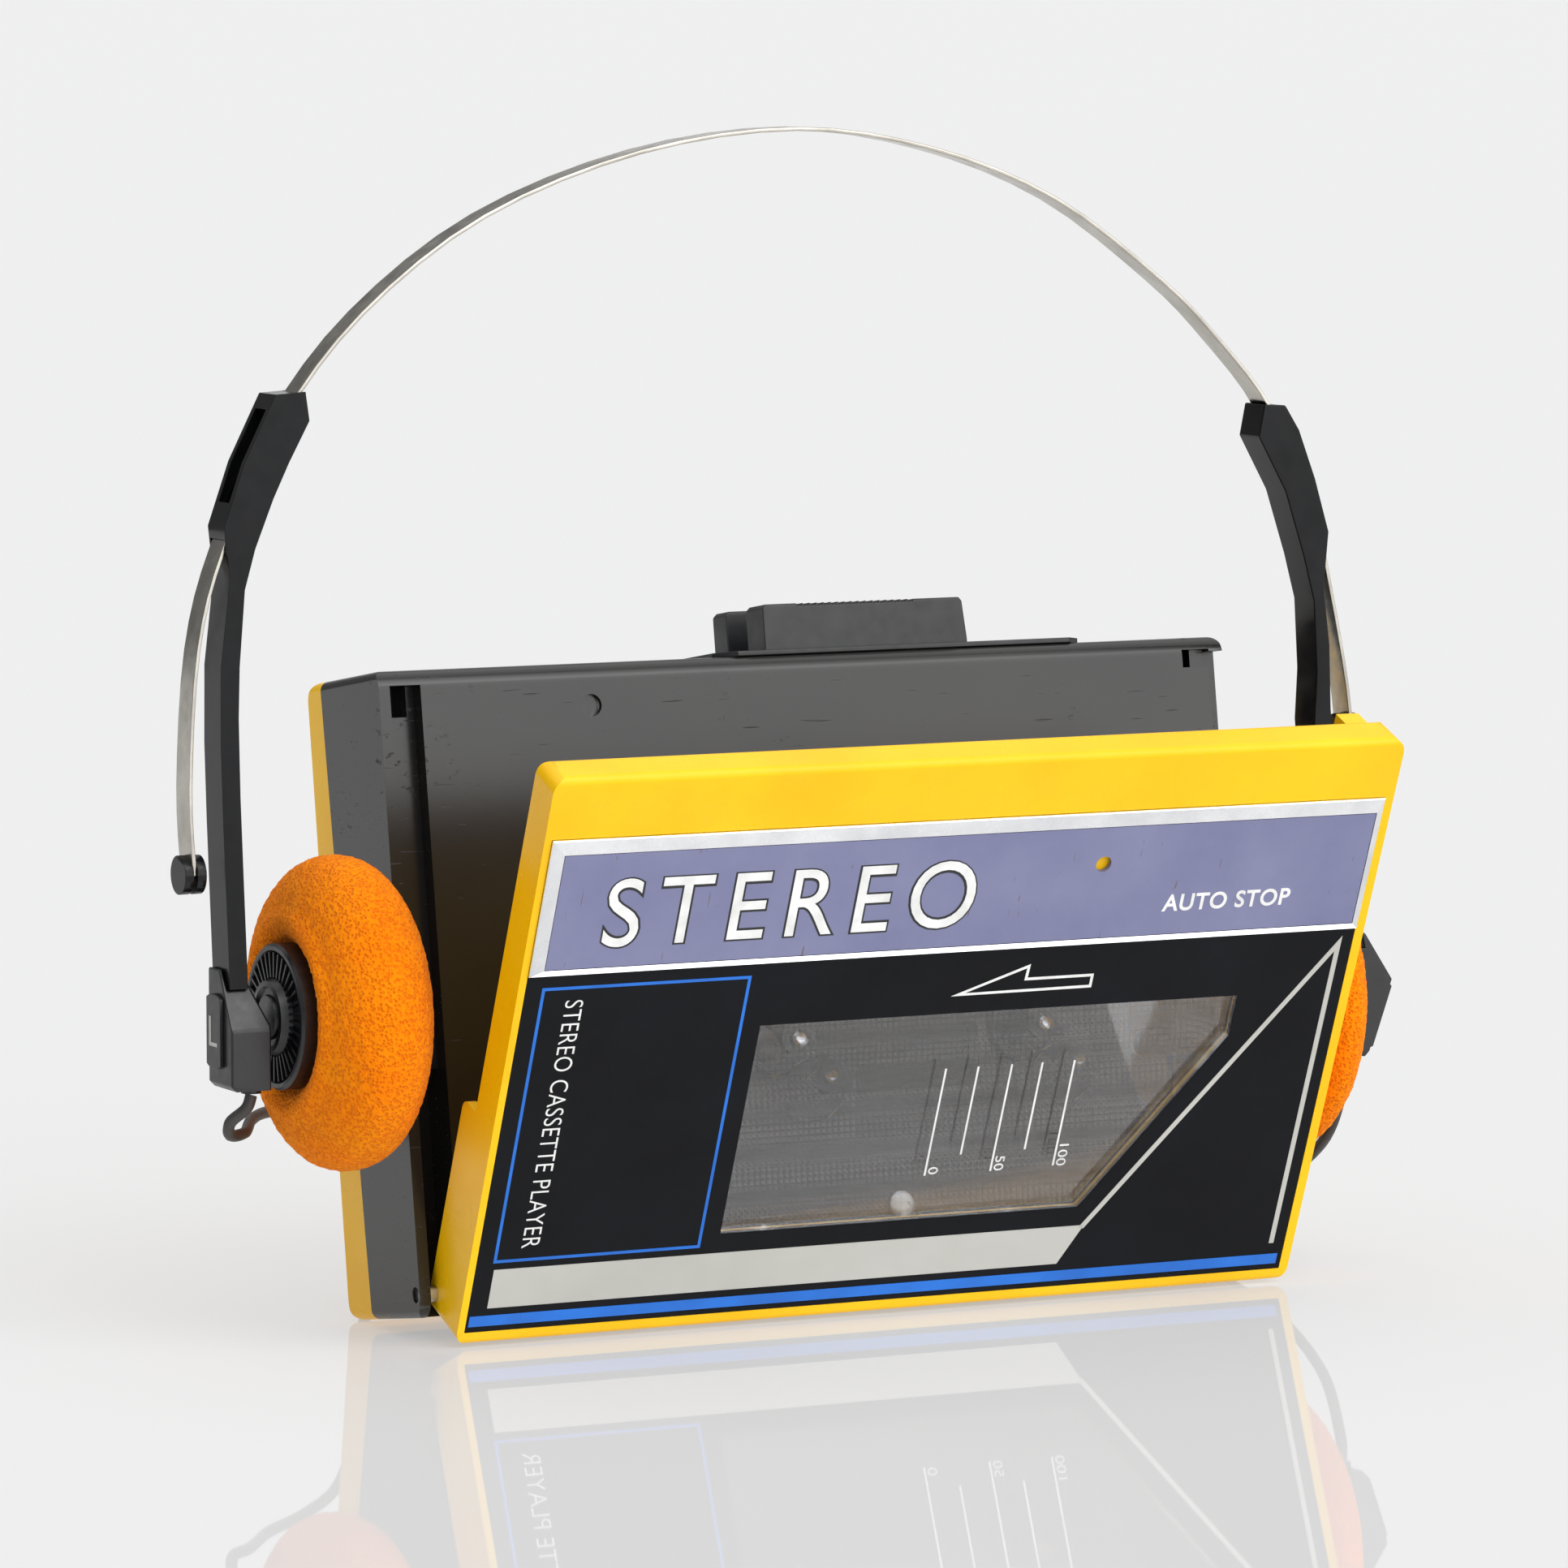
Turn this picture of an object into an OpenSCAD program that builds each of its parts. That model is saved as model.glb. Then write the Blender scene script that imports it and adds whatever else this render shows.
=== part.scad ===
/* [Case] */
// Width of the case, end to end
case_w = 144; // [132:0.5:190]
// Height of the case without the keys
case_h = 96.6; // [92:0.1:125]
// Depth of the case, front face to back
case_d = 27; // [26:0.5:36]
// Wall of the case shell
case_wall = 2; // [1.5:0.1:2.6]
// Wall of the rear cover
cover_wall = 1.8; // [1.4:0.1:2.4]
// Depth of the rear cover at its top edge
cover_top_d = 5; // [4:0.1:7]
// Depth of the rear cover at its bottom edge
cover_bottom_d = 8.6; // [6:0.1:10]
// Radius of the case's long edges
edge_r = 3; // [1:0.1:4]
// Angle that the standing case leans back
lean_angle = 9; // [4:0.5:14]

/* [Door] */
// Width of the door
door_w = 141.4; // [128:0.1:186]
// Height of the door
door_h = 94.8; // [88:0.1:122]
// Offset of the door from the middle of the case
door_x = 1.8; // [1:0.1:2.4]
// Thickness of the door's face
door_t = 2; // [1.6:0.1:3]
// Depth of the side flanges above their step
flange_d = 6.5; // [5:0.1:7]
// Depth of the side flanges at the hinge
hinge_flange_d = 11; // [10.5:0.1:14]
// Height of the step in the side flanges
flange_step_z = 36.3; // [28:0.1:45]
// Angle that the door swings open
door_swing = 31.4; // [20:0.1:40]
// Diameter of the hinge pins
hinge_pin_d = 2.4; // [1.6:0.1:3]
// Height of the label below the metal band
label_h = 60.2; // [50:0.1:70]
// Height of the metal band
band_h = 22.4; // [16:0.1:26]
// Width of the label and the metal band
label_w = 138.6; // [126:0.1:184]

/* [Mechanism] */
// Distance between the two reel spindles
reel_pitch = 42.5; // [42.5]
// Middle of the two reel spindles, from the middle of the case
reel_x = 16; // [10:0.1:16.4]
// Height of the reel spindles
reel_z = 38; // [36:0.1:42]
// Depth of the deck floor behind the front face
deck_depth = 11.5; // [10:0.1:14]
// Diameter of the flywheel
flywheel_d = 30; // [24:0.5:32]
// Diameter of the motor can
motor_d = 24; // [20:0.5:25]
// Travel of each key
key_travel = 3.5; // [2:0.1:5]

/* [Headset] */
// Diameter of the foam pads
pad_d = 47; // [40:0.5:55]
// Thickness of the foam pads
pad_t = 19; // [12:0.5:24]
// Width of the spring band
band_w = 5; // [3:0.1:6]
// Thickness of the spring band
band_t = 0.6; // [0.4:0.1:1]
// Thickness of the arms
arm_t = 3.2; // [2.8:0.1:4.5]
// Depth of the arms, front to back
arm_d = 6.4; // [5.6:0.1:8]
// Diameter of the cord
cord_d = 1.8; // [1.6:0.1:3]

/* [Hidden] */
$fn = 48;
gap = 0.3;
run_gap = 0.05;
frame_x = 4.5;
frame_y = 26.4;
frame_z = -edge_r * (sin(lean_angle) + cos(lean_angle) - 1);

// case: x from the middle, y = 0 at the back and negative to the front, z = 0 at the bottom
front_y = -case_d;
front_in_y = front_y + case_wall;
deck_y = front_y + deck_depth;
deck_t = 1.4;
deck_back_y = deck_y + deck_t;
left_column = 9.2;
right_column = 4.8;
cavity_x0 = -case_w / 2 + left_column;
cavity_x1 = case_w / 2 - right_column;
groove_x0 = -case_w / 2 + 1.8;
groove_x1 = -case_w / 2 + 6.8;
rebate_x = case_w / 2 - 2.6;
groove_d = 3;
hinge_groove_d = 7.5;
lip_h = 2.4;

// tape well
tape_w = 101;
tape_h = 64.4;
head_zone_w = 95;
head_zone_h = 12;
well_x0 = reel_x - tape_w / 2;
well_z0 = reel_z - 35;
well_head_z = well_z0 + tape_h;
well_top_z = well_head_z + head_zone_h;
well_r = 3;
well_wall = 1.2;
lamp_x = reel_x + 6.4;
lamp_r = 1.5;

// door: seen closed, its hinge axis is at y = 0, z = 0
hinge_y = front_y + 1.5;
hinge_z = 3.5;
door_gap = 1.25;
door_face_y = -(flange_d + 1.5 + door_gap);
door_z0 = -3.7;
door_z1 = door_z0 + door_h;
door_x0 = door_x - door_w / 2;
door_x1 = door_x + door_w / 2;
flange_t = 1.5;
label_x = door_x - 0.2;
label_z = door_z0 + 2.3;
label_t = 0.8;
band_proud = 0.5;
step_z = flange_step_z + door_z0;
window_points = [[-29.6, 49.4], [51, 49.4], [51, 42.6], [31, 14], [-29.6, 14]];
pin_r = hinge_pin_d / 2;

// reels and drive
supply_x = reel_x - reel_pitch / 2;
takeup_x = reel_x + reel_pitch / 2;
capstan_x = reel_x + 31.5;
capstan_z = reel_z + 23.6;
capstan_r = 1;
wheel_y0 = deck_back_y + 6;
wheel_t = 4;
rim_w = [1.7, 0.6];
groove_r = 0.8;
belt_w = 1.2;
belt_y = wheel_y0 + (rim_w[0] + wheel_t - rim_w[1]) / 2;
flywheel_r = flywheel_d / 2;
reel_disc_r = 6;
drive_span = sqrt(pow(capstan_x - takeup_x, 2) + pow(capstan_z - reel_z, 2));
idler_gap = 0.1;
idler_r = (drive_span - flywheel_r - reel_disc_r) / 2 - idler_gap;
idler_share = (reel_disc_r + idler_gap + idler_r) / drive_span;
idler_x = takeup_x + (capstan_x - takeup_x) * idler_share;
idler_z = reel_z + (capstan_z - reel_z) * idler_share;
spindle_tip_y = front_y + 2;
motor_x = (cavity_x0 + well_x0 - well_wall) / 2;
motor_z = case_h - case_wall - motor_d / 2 - 6;
motor_len = 15;
pulley_r = 3.5;

// battery cells
cell_d = 14.2;
cell_h = 50.5;
cell_z0 = 4.6;
cell_a = [cavity_x0 + cell_d / 2 + 0.2, front_in_y + cell_d / 2 + 0.3];
cell_b = [well_x0 - well_wall - cell_d / 2 - 0.2, -cover_wall - cell_d / 2 - 0.6];
hatch_x0 = cavity_x0 + 2;
hatch_x1 = well_x0 - well_wall - 1;
hatch_z0 = 5;
hatch_z1 = 58;
hatch_pin_r = 0.7;
hatch_barrel_r = 1.2;

// keys
key_x0 = reel_x - 21.5;
key_len = 34.9;
key_up = 7.9;
key_down = 6;
play_y = [front_y + 4, front_y + 10];
rear_key_y = [front_y + 17, front_y + 21.7];
plate_t = 0.8;
plate_x0 = key_x0 - 8.6;
plate_x1 = key_x0 + key_len + 19.8;

// side controls
jack_y = -11.2;
jack_z = 11.5;
jack_r = 2.9;
plug_pin_r = 1.75;
power_z = case_h - 24.6;
power_r = 2.3;
power_bore_r = 1.7;
power_bore_l = 7;
wheel_z = case_h - 12;
wheel_y = -12;
wheel_r = 8;
wheel_x = case_w / 2 + 1.1 - wheel_r;

// headset: x from the middle of the case, y and z from the floor under the case's back edge
head_y = -19;
ear_x = case_w / 2 + gap;
left_tilt = 0;
right_tilt = 3;
left_z = 49.2;
right_z = 42;
right_squeeze = 8;
right_reach = sqrt(pow((pad_t - right_squeeze) / 2 * cos(right_tilt), 2) + pow(pad_d / 2 * sin(right_tilt), 2)) + 1;
left_cup = [-ear_x - pad_t / 2, left_z];
right_cup = [ear_x + right_reach, right_z];
driver_r = 11;
driver_t = 2.2;
block = [6.4, 6.4, 9.7];
block_drop = 6;
block_proud = 2.4;
left_arm_outer = [[-92.6, 141.3], [-97.6, 131.4], [-100.9, 122], [-100.1, 114.4], [-101.6, 101.6],
    [-101.7, 90.2], [-101.4, 78.7], [-100.5, 54]];
left_arm_inner = [[-97.6, 54], [-98.2, 70.9], [-98.6, 82.4], [-98.8, 93.9], [-98.6, 101.5],
    [-97.7, 112.8], [-96, 118.8], [-93.1, 126], [-90.6, 131.2], [-87.3, 137.3], [-87.9, 141.6]];
right_arm_outer = [[77.3, 135.6], [79.8, 131.7], [82.7, 124.1], [85.2, 115.7], [84.4, 107],
    [85.5, 98], [85.8, 88], [86.8, 76], [89, 64], [92.2, 50]];
right_arm_inner = [[89.2, 50], [86, 64], [83.8, 76], [82.8, 86], [83.2, 94], [82.6, 105], [80.7, 112.1],
    [77.4, 122.2], [72.6, 130.8], [73.6, 135.8]];
right_block_outline = [[88, 33.4], [92.4, 32.8], [93.2, 33.6], [97.2, 44.8], [92.2, 52.4], [89.2, 52.4], [88.6, 46]];
band_line = [[-105.6, 71], [-106.2, 84], [-104.8, 104], [-100.6, 119], [-91.6, 137],
    [-78.4, 152.8], [-58.6, 166.8], [-33, 176], [-7, 179.2], [16, 176], [37, 168.2], [55.6, 155.4],
    [66, 145.8], [75.4, 134.6], [83, 118], [86.4, 105], [89, 92], [90, 84]];
stop_knob_r = 2.9;
slot_gap = 0.25;

// cords: points by hand, in the headset's frame
cord_r = cord_d / 2;
left_route = [[-95.9, -19, 37.8], [-96.6, -18.8, 35.8], [-98.4, -17, 33.6], [-97.6, -15, 31.4],
    [-94, -12, 31.2], [-90, -5, 32], [-84, 3, 31.8], [-76, 9, 31], [-69, 12, 27.6], [-65.2, 13, 19],
    [-64, 14, 9], [-62.4, 16, 2.6], [-55, 20, 1.2], [-38, 23, 1.2], [-16, 23, 1.2], [6, 24, 1.2],
    [22, 25, 1.2], [29, 28, 1.4], [29, 33, 2.2], [24, 35.4, 3], [18, 35.6, 3]];
right_route = [[90.4, -19, 31.4], [90.4, -18.4, 27], [90.6, -12, 18], [88, 0, 10], [80, 12, 4],
    [68, 24, 1.4], [50, 32, 1.6], [34, 37.4, 3], [18, 38.4, 3]];
joint_ends = [[18, 37, 3], [8, 37, 3]];
main_route = [[8, 37, 3], [0, 37, 1.4], [-8, 37, 1.2], [-16, 37, 1.4]];
plug_route = [[-16, 58.6, 6.6], [-4, 58.6, 4.4], [10, 57.4, 1.4], [30, 53, 1.2], [50, 45, 1.6], [66, 34, 5],
    [75, 22, 9], [76.6, 10, 10.4], [76.6, 0.4, 11.6]];
coil_middle = [-16, 47.8];
coil_r = 10.8;
coil_tube_r = 4.2;

function ring_side(p, n, r, k) = [for (i = [0:n - 1]) [r * cos(360 * i / n + k), r * sin(360 * i / n + k)]];
function unit(v) = v / norm(v);
function rot90(v) = [-v[1], v[0]];
function way(p, i) = unit(p[min(i + 1, len(p) - 1)] - p[max(i - 1, 0)]);
function blend4(a, b, c, d, t) = 0.5 * (2 * b + (c - a) * t + (2 * a - 5 * b + 4 * c - d) * t * t
    + (3 * b - a - 3 * c + d) * t * t * t);
function smooth(p, n) = [for (i = [0:len(p) - 2]) for (k = [0:n - 1])
    blend4(p[max(i - 1, 0)], p[i], p[i + 1], p[min(i + 2, len(p) - 1)], k / n), p[len(p) - 1]];
function side(p, off) = [for (i = [0:len(p) - 1]) p[i] + rot90(way(p, i)) * off];
function flip(p) = [for (i = [len(p) - 1:-1:0]) p[i]];

module round_rect(x0, y0, x1, y1, r) {
    translate([x0 + r, y0]) square([x1 - x0 - 2 * r, y1 - y0]);
    translate([x0, y0 + r]) square([x1 - x0, y1 - y0 - 2 * r]);
    for (x = [x0 + r, x1 - r], y = [y0 + r, y1 - r]) translate([x, y]) circle(r);
}

module box(x0, x1, y0, y1, z0, z1) {
    translate([x0, y0, z0]) cube([x1 - x0, y1 - y0, z1 - z0]);
}

// a cylinder along y, from y0 to y1
module rod_y(x, z, y0, y1, r) {
    translate([x, y1, z]) rotate([90, 0, 0]) cylinder(h = y1 - y0, r = r);
}

// a cylinder along x, from x0 to x1
module rod_x(y, z, x0, x1, r) {
    translate([x0, y, z]) rotate([0, 90, 0]) cylinder(h = x1 - x0, r = r);
}

// an outline of x and z, from y0 back to y1
module slab_y(y0, y1) {
    translate([0, y1, 0]) rotate([90, 0, 0]) linear_extrude(y1 - y0) children();
}

// an outline of y and z, from x0 to x1
module slab_x(x0, x1) {
    translate([x0, 0, 0]) rotate([90, 0, 90]) linear_extrude(x1 - x0) children();
}

module in_case() {
    translate([frame_x, frame_y, frame_z]) rotate([-lean_angle, 0, 0]) children();
}

module in_door() {
    in_case() translate([0, hinge_y, hinge_z]) rotate([door_swing, 0, 0]) children();
}

module in_headset() {
    translate([frame_x, frame_y, 0]) children();
}

// a flat strip of thickness t along a line of x and z points
module strip(line, t, y0, y1) {
    slab_y(y0, y1) polygon(concat(side(line, t / 2), flip(side(line, -t / 2))));
}

// a round cord along its points
module cord(route, r) {
    p = smooth(route, 2);
    n = len(p);
    sides = 8;
    rings = [for (i = [0:n - 1]) let (w = way(p, i), a = unit(cross(w, [0, 0.31, 0.95])), b = cross(w, a))
        for (k = [0:sides - 1]) p[i] + r * (cos(360 * k / sides) * a + sin(360 * k / sides) * b)];
    skin = [for (i = [0:n - 2]) for (k = [0:sides - 1])
        [i * sides + k, (i + 1) * sides + k, (i + 1) * sides + (k + 1) % sides, i * sides + (k + 1) % sides]];
    first = [for (k = [0:sides - 1]) k];
    last = [for (k = [sides - 1:-1:0]) (n - 1) * sides + k];
    polyhedron(rings, concat(skin, [first, last]), convexity = 8);
}

// ---- case ----

module case_block() {
    intersection() {
        slab_x(-case_w / 2, case_w / 2) round_rect(-case_d, 0, 0, case_h, edge_r);
        slab_y(-case_d, 0) round_rect(-case_w / 2, 0, case_w / 2, case_h, edge_r / 2);
    }
}

module split_outline(front) {
    reach = front ? -case_d - 1 : 1;
    polygon([[reach, -1], [-cover_bottom_d, -1], [-cover_bottom_d, 0], [-cover_top_d, case_h],
        [-cover_top_d, case_h + 1], [reach, case_h + 1]]);
}

module well_outline(grow) {
    round_rect(well_x0 - grow, well_z0 - grow, well_x0 + tape_w + grow, well_head_z + grow, well_r + grow);
    round_rect(well_x0 - grow, well_z0 - grow, well_x0 + head_zone_w + grow, well_top_z + grow, well_r + grow);
}

screw_places = [[-case_w / 2 + 12, 62], [-case_w / 2 + 46, 6], [cavity_x1 - 4, 34], [cavity_x1 - 4, case_h - 5],
    [-case_w / 2 + 38, case_h - 6]];
screw_r = 0.9;
screw_head_r = 1.9;
boss_r = 2.3;

module key_holes(grow) {
    box(key_x0 - grow, key_x0 + key_len + grow, play_y[0] - grow, play_y[1] + grow,
        case_h - case_wall - 1, case_h + plate_t + 1);
    box(key_x0 - grow, key_x0 + key_len + grow, rear_key_y[0] - grow, rear_key_y[1] + grow,
        case_h - case_wall - 1, case_h + plate_t + 1);
}

module case_shell() {
    color("#26262b") in_case() difference() {
        union() {
            difference() {
                intersection() {
                    case_block();
                    slab_x(-case_w, case_w) split_outline(true);
                }
                box(cavity_x0, cavity_x1, front_in_y, 1, case_wall, case_h - case_wall);
                box(-case_w / 2 + case_wall, cavity_x0 - case_wall, front_y + hinge_groove_d + case_wall, 1,
                    case_wall, case_h - case_wall);
            }
            box(cavity_x0 - 1, well_x0, front_in_y - 0.5, front_in_y + 1.2, case_wall - 0.2, 4);
            for (p = screw_places) rod_y(p[0], p[1], deck_back_y + 0.2, -cover_bottom_d, boss_r);
            rod_y(screw_places[0][0], screw_places[0][1], front_in_y - 0.5, deck_back_y + 0.3, boss_r);
            rod_y(screw_places[3][0], screw_places[3][1], front_in_y - 0.5, deck_back_y + 0.3, boss_r);
            rod_y(screw_places[4][0], screw_places[4][1], front_in_y - 0.5, deck_back_y + 0.3, boss_r);
        }
        slab_y(front_y - 1, front_in_y + 0.1) well_outline(0);
        slab_y(front_in_y, deck_back_y) well_outline(well_wall);
        rod_y(lamp_x, well_top_z, front_y - 1, front_in_y + 0.1, lamp_r + 0.4);
        box(groove_x0, groove_x1, front_y - 1, front_y + groove_d, -1, case_h - lip_h);
        box(groove_x0, groove_x1, front_y - 1, front_y + hinge_groove_d, -1, flange_step_z + 0.6);
        box(groove_x0 + 0.6, groove_x1 - 1.2, front_y, front_y + groove_d + 5, case_h - 7, case_h - lip_h);
        box(rebate_x, case_w, front_y - 1, front_y + groove_d, -1, case_h - lip_h);
        box(rebate_x, case_w, front_y - 1, front_y + hinge_groove_d, -1, flange_step_z + 0.6);
        box(groove_x0, case_w, front_y - 1, front_y + 3.2, -1, case_wall - 0.3);
        box(door_x1 - 7.7, door_x1 - 2.9, front_y - 1, front_in_y + 0.1, case_h - 4.8, case_h - case_wall);
        rod_y(-37.3, case_h - 6.6, front_y - 1, front_y + 0.8, 1.7);
        key_holes(gap);
        rod_x(hinge_y, hinge_z, -case_w, -case_w / 2 + left_column - 1, pin_r);
        rod_x(hinge_y, hinge_z, case_w / 2 - 3.8, case_w, pin_r);
        rod_x(jack_y, jack_z, cavity_x1 - 1, case_w, jack_r);
        rod_x(jack_y, power_z, cavity_x1 - 1, case_w, power_r);
        box(cavity_x1 - 6, case_w, wheel_y - wheel_r - 0.6, wheel_y + wheel_r + 0.6, wheel_z - 1.8, wheel_z + 1.8);
        for (p = screw_places) rod_y(p[0], p[1], deck_back_y + 3, 1, screw_r);
    }
}

module rear_cover() {
    color("#f7c427") in_case() difference() {
        intersection() {
            case_block();
            slab_x(-case_w, case_w) split_outline(false);
        }
        difference() {
            box(-case_w / 2 + cover_wall, case_w / 2 - cover_wall, -case_d, -cover_wall,
                cover_wall, case_h - cover_wall);
            for (p = screw_places) rod_y(p[0], p[1], -cover_bottom_d, 0, boss_r);
            for (x = [hatch_x0 - 1.6, hatch_x1 + 0.4])
                box(x, x + 1.2, -cover_wall - 1.8, 0, hatch_z1 - 4, hatch_z1 + 2);
        }
        box(hatch_x0 - gap, hatch_x1 + gap, -cover_wall - 0.1, 1, hatch_z0 - gap, hatch_z1 + gap);
        rod_x(-hatch_barrel_r, hatch_z1 - hatch_barrel_r, hatch_x0 - 1.2, hatch_x1 + 1.2, hatch_pin_r + run_gap);
        for (p = screw_places) {
            rod_y(p[0], p[1], -case_d, 1, screw_r);
            rod_y(p[0], p[1], -1.4, 1, screw_head_r + 0.1);
        }
        for (p = screw_places) rod_y(p[0], p[1], -case_d, -cover_bottom_d, boss_r + 1);
    }
}

module case_screws() {
    color("#5c5e63") in_case() for (p = screw_places) difference() {
        union() {
            rod_y(p[0], p[1], deck_back_y + 3, -1.4, screw_r);
            rod_y(p[0], p[1], -1.4, -0.3, screw_head_r);
        }
        box(p[0] - 1.3, p[0] + 1.3, -0.9, 1, p[1] - 0.2, p[1] + 0.2);
        box(p[0] - 0.2, p[0] + 0.2, -0.9, 1, p[1] - 1.3, p[1] + 1.3);
    }
}

module hinge_pins() {
    color("#b9bcc0") in_case() {
        rod_x(hinge_y, hinge_z, groove_x0 - 1.2, -case_w / 2 + left_column - 1, pin_r);
        rod_x(hinge_y, hinge_z, case_w / 2 - 3.8, door_x1 - 0.2, pin_r);
    }
}

module key_plate() {
    color("#1d1e22") in_case() difference() {
        slab_z(case_h, case_h + plate_t) polygon([[plate_x0 + 3, front_y + 2], [plate_x1 - 3, front_y + 2],
            [plate_x1, front_y + 5], [plate_x1, -5], [plate_x1 - 3, -3.4], [plate_x0 + 3, -3.4],
            [plate_x0, -5], [plate_x0, front_y + 5]]);
        key_holes(gap);
    }
}

module slab_z(z0, z1) {
    translate([0, 0, z0]) linear_extrude(z1 - z0) children();
}

module deck() {
    color("#2d2e33") in_case() difference() {
        union() {
            slab_y(front_in_y, deck_back_y) well_outline(well_wall);
            for (p = deck_posts) rod_y(p[0], p[1], deck_back_y, wheel_y0 - 0.4, 2);
        }
        slab_y(front_y - 1, deck_y) well_outline(0);
        for (x = [supply_x, takeup_x]) rod_y(x, reel_z, deck_y - 1, 0, 5.6);
        rod_y(capstan_x, capstan_z, deck_y - 1, 0, capstan_r + 0.6);
        slab_y(deck_y - 1, 0) round_rect(reel_x + 41, reel_z - 6, reel_x + 49.6, reel_z + 3.3, 1.6);
        slab_y(deck_y - 1, deck_y + 0.8) round_rect(reel_x - 14 - 0.1, reel_z - 8.6, reel_x + 14 + 0.1, reel_z + 3.8, 1);
        box(bridge_x0 - gap, bridge_x1 + gap, deck_y - 1, 0, well_head_z - key_travel + 1.2, well_head_z + 6);
        for (p = deck_posts) rod_y(p[0], p[1], deck_y - 1, 0, 0.8);
        rod_y(lamp_x, well_top_z, front_y - 1, deck_back_y + 1, lamp_r + 0.4);
    }
}

deck_posts = [[reel_x - 1.6, reel_z - 26.4], [reel_x - 40, reel_z + 18]];
bridge_x0 = reel_x - 20;
bridge_x1 = reel_x + 37;

module deck_grille() {
    color("#17181b") in_case() difference() {
        slab_y(deck_y + 0.1, deck_y + 0.8) round_rect(reel_x - 14, reel_z - 8.5, reel_x + 14, reel_z + 3.7, 1);
        for (i = [0:7]) box(reel_x - 12.6, reel_x + 12.6, deck_y, deck_y + 0.4,
            reel_z - 7.5 + i * 1.4, reel_z - 6.9 + i * 1.4);
    }
}

module deck_screws() {
    color("#a9abb0") in_case() for (p = deck_posts) difference() {
        union() {
            rod_y(p[0], p[1], deck_y, deck_y + 4, 0.8);
            rod_y(p[0], p[1], deck_y - 1.2, deck_y, 2);
        }
        box(p[0] - 1.4, p[0] + 1.4, deck_y - 2, deck_y - 0.6, p[1] - 0.25, p[1] + 0.25);
    }
}

module batteries() {
    for (c = [cell_a, cell_b]) in_case() {
        color("#3c4048") translate([c[0], c[1], cell_z0]) cylinder(h = cell_h - 1.2, d = cell_d);
        color("#c9cbce") translate([c[0], c[1], cell_z0 + cell_h - 1.2]) cylinder(h = 1.2, d = 5.4);
    }
}

module battery_contacts() {
    color("#c2c4c4") in_case() {
        for (c = [cell_a, cell_b]) {
            translate([c[0], c[1], cell_z0 + cell_h]) cylinder(h = 0.5, d = 9);
            translate([c[0], c[1], cell_z0 - 1.2]) difference() {
                cylinder(h = 1.2, d = 8);
                translate([0, 0, -1]) cylinder(h = 3, d = 6);
            }
        }
        box(cell_a[0] - 4, cell_b[0] + 4, cell_b[1] - 5, cell_b[1] - 1, cell_z0 + cell_h + 0.5, cell_z0 + cell_h + 1);
        box(cell_a[0] - 3, cell_a[0] + 3, cell_a[1] - 3, cell_b[1] - 1, cell_z0 + cell_h + 0.5, cell_z0 + cell_h + 1);
    }
}

module battery_door() {
    color("#f7c427") in_case() {
        difference() {
            union() {
                box(hatch_x0, hatch_x1, -cover_wall, 0, hatch_z0, hatch_z1 - hatch_barrel_r);
                rod_x(-hatch_barrel_r, hatch_z1 - hatch_barrel_r, hatch_x0, hatch_x1, hatch_barrel_r);
            }
            for (i = [0:4]) box(hatch_x0 + 6, hatch_x1 - 6, -0.5, 1, hatch_z0 + 4 + i * 1.6, hatch_z0 + 4.8 + i * 1.6);
        }
        rod_x(-hatch_barrel_r, hatch_z1 - hatch_barrel_r, hatch_x0 - 1.1, hatch_x1 + 1.1, hatch_pin_r);
    }
}

board_x0 = well_x0 + 4;
board_x1 = cavity_x1 - 8.4;
board_z0 = 4;
board_z1 = reel_z - 9;
board_y = -cover_wall - 1.6;

module circuit_board() {
    in_case() {
        color("#3f6b3c") difference() {
            box(board_x0, board_x1, board_y - 1.2, board_y, board_z0, board_z1);
            for (p = screw_places) rod_y(p[0], p[1], -case_d, 0, boss_r + 0.4);
        }
        color("#222327") box(board_x0 + 20, board_x0 + 32, board_y - 3, board_y - 1.2, board_z0 + 8, board_z0 + 15);
        color("#30364a") for (x = [board_x0 + 8, board_x0 + 44, board_x0 + 54])
            rod_y(x, board_z0 + 15, board_y - 8, board_y - 1.2, 2.5);
    }
}

module motor() {
    color("#a7a9ac") in_case() {
        rod_y(motor_x, motor_z, wheel_y0 - motor_len - 1, wheel_y0 - 1, motor_d / 2);
        rod_y(motor_x, motor_z, wheel_y0 - 1, wheel_y0 - 0.4, 4);
        rod_y(motor_x, motor_z, wheel_y0 - 0.4, wheel_y0 + wheel_t + 0.4, 0.75);
    }
}

// a wheel with a belt groove between its two rims
module grooved_wheel(x, z, r) {
    rod_y(x, z, wheel_y0, wheel_y0 + wheel_t, r - groove_r);
    rod_y(x, z, wheel_y0, wheel_y0 + rim_w[0], r);
    rod_y(x, z, wheel_y0 + wheel_t - rim_w[1], wheel_y0 + wheel_t, r);
}

module motor_pulley() {
    color("#c8a654") in_case() difference() {
        union() {
            grooved_wheel(motor_x, motor_z, pulley_r);
        }
        rod_y(motor_x, motor_z, wheel_y0 - 1, wheel_y0 + wheel_t + 1, 0.75 + run_gap);
    }
}

function arc(c, r, a0, a1, n) = [for (i = [0:n]) let (a = a0 + (a1 - a0) * i / n) c + r * [cos(a), sin(a)]];

// the belt's outline: two arcs and their outer tangents
module belt_outline(r1, r2) {
    m = [motor_x, motor_z];
    d = [capstan_x, capstan_z] - m;
    turn = atan2(d[1], d[0]);
    lean = acos((r1 - r2) / norm(d));
    polygon(concat(arc(m, r1, turn + lean, turn - lean + 360, 12), arc(m + d, r2, turn - lean, turn + lean, 40)));
}

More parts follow.
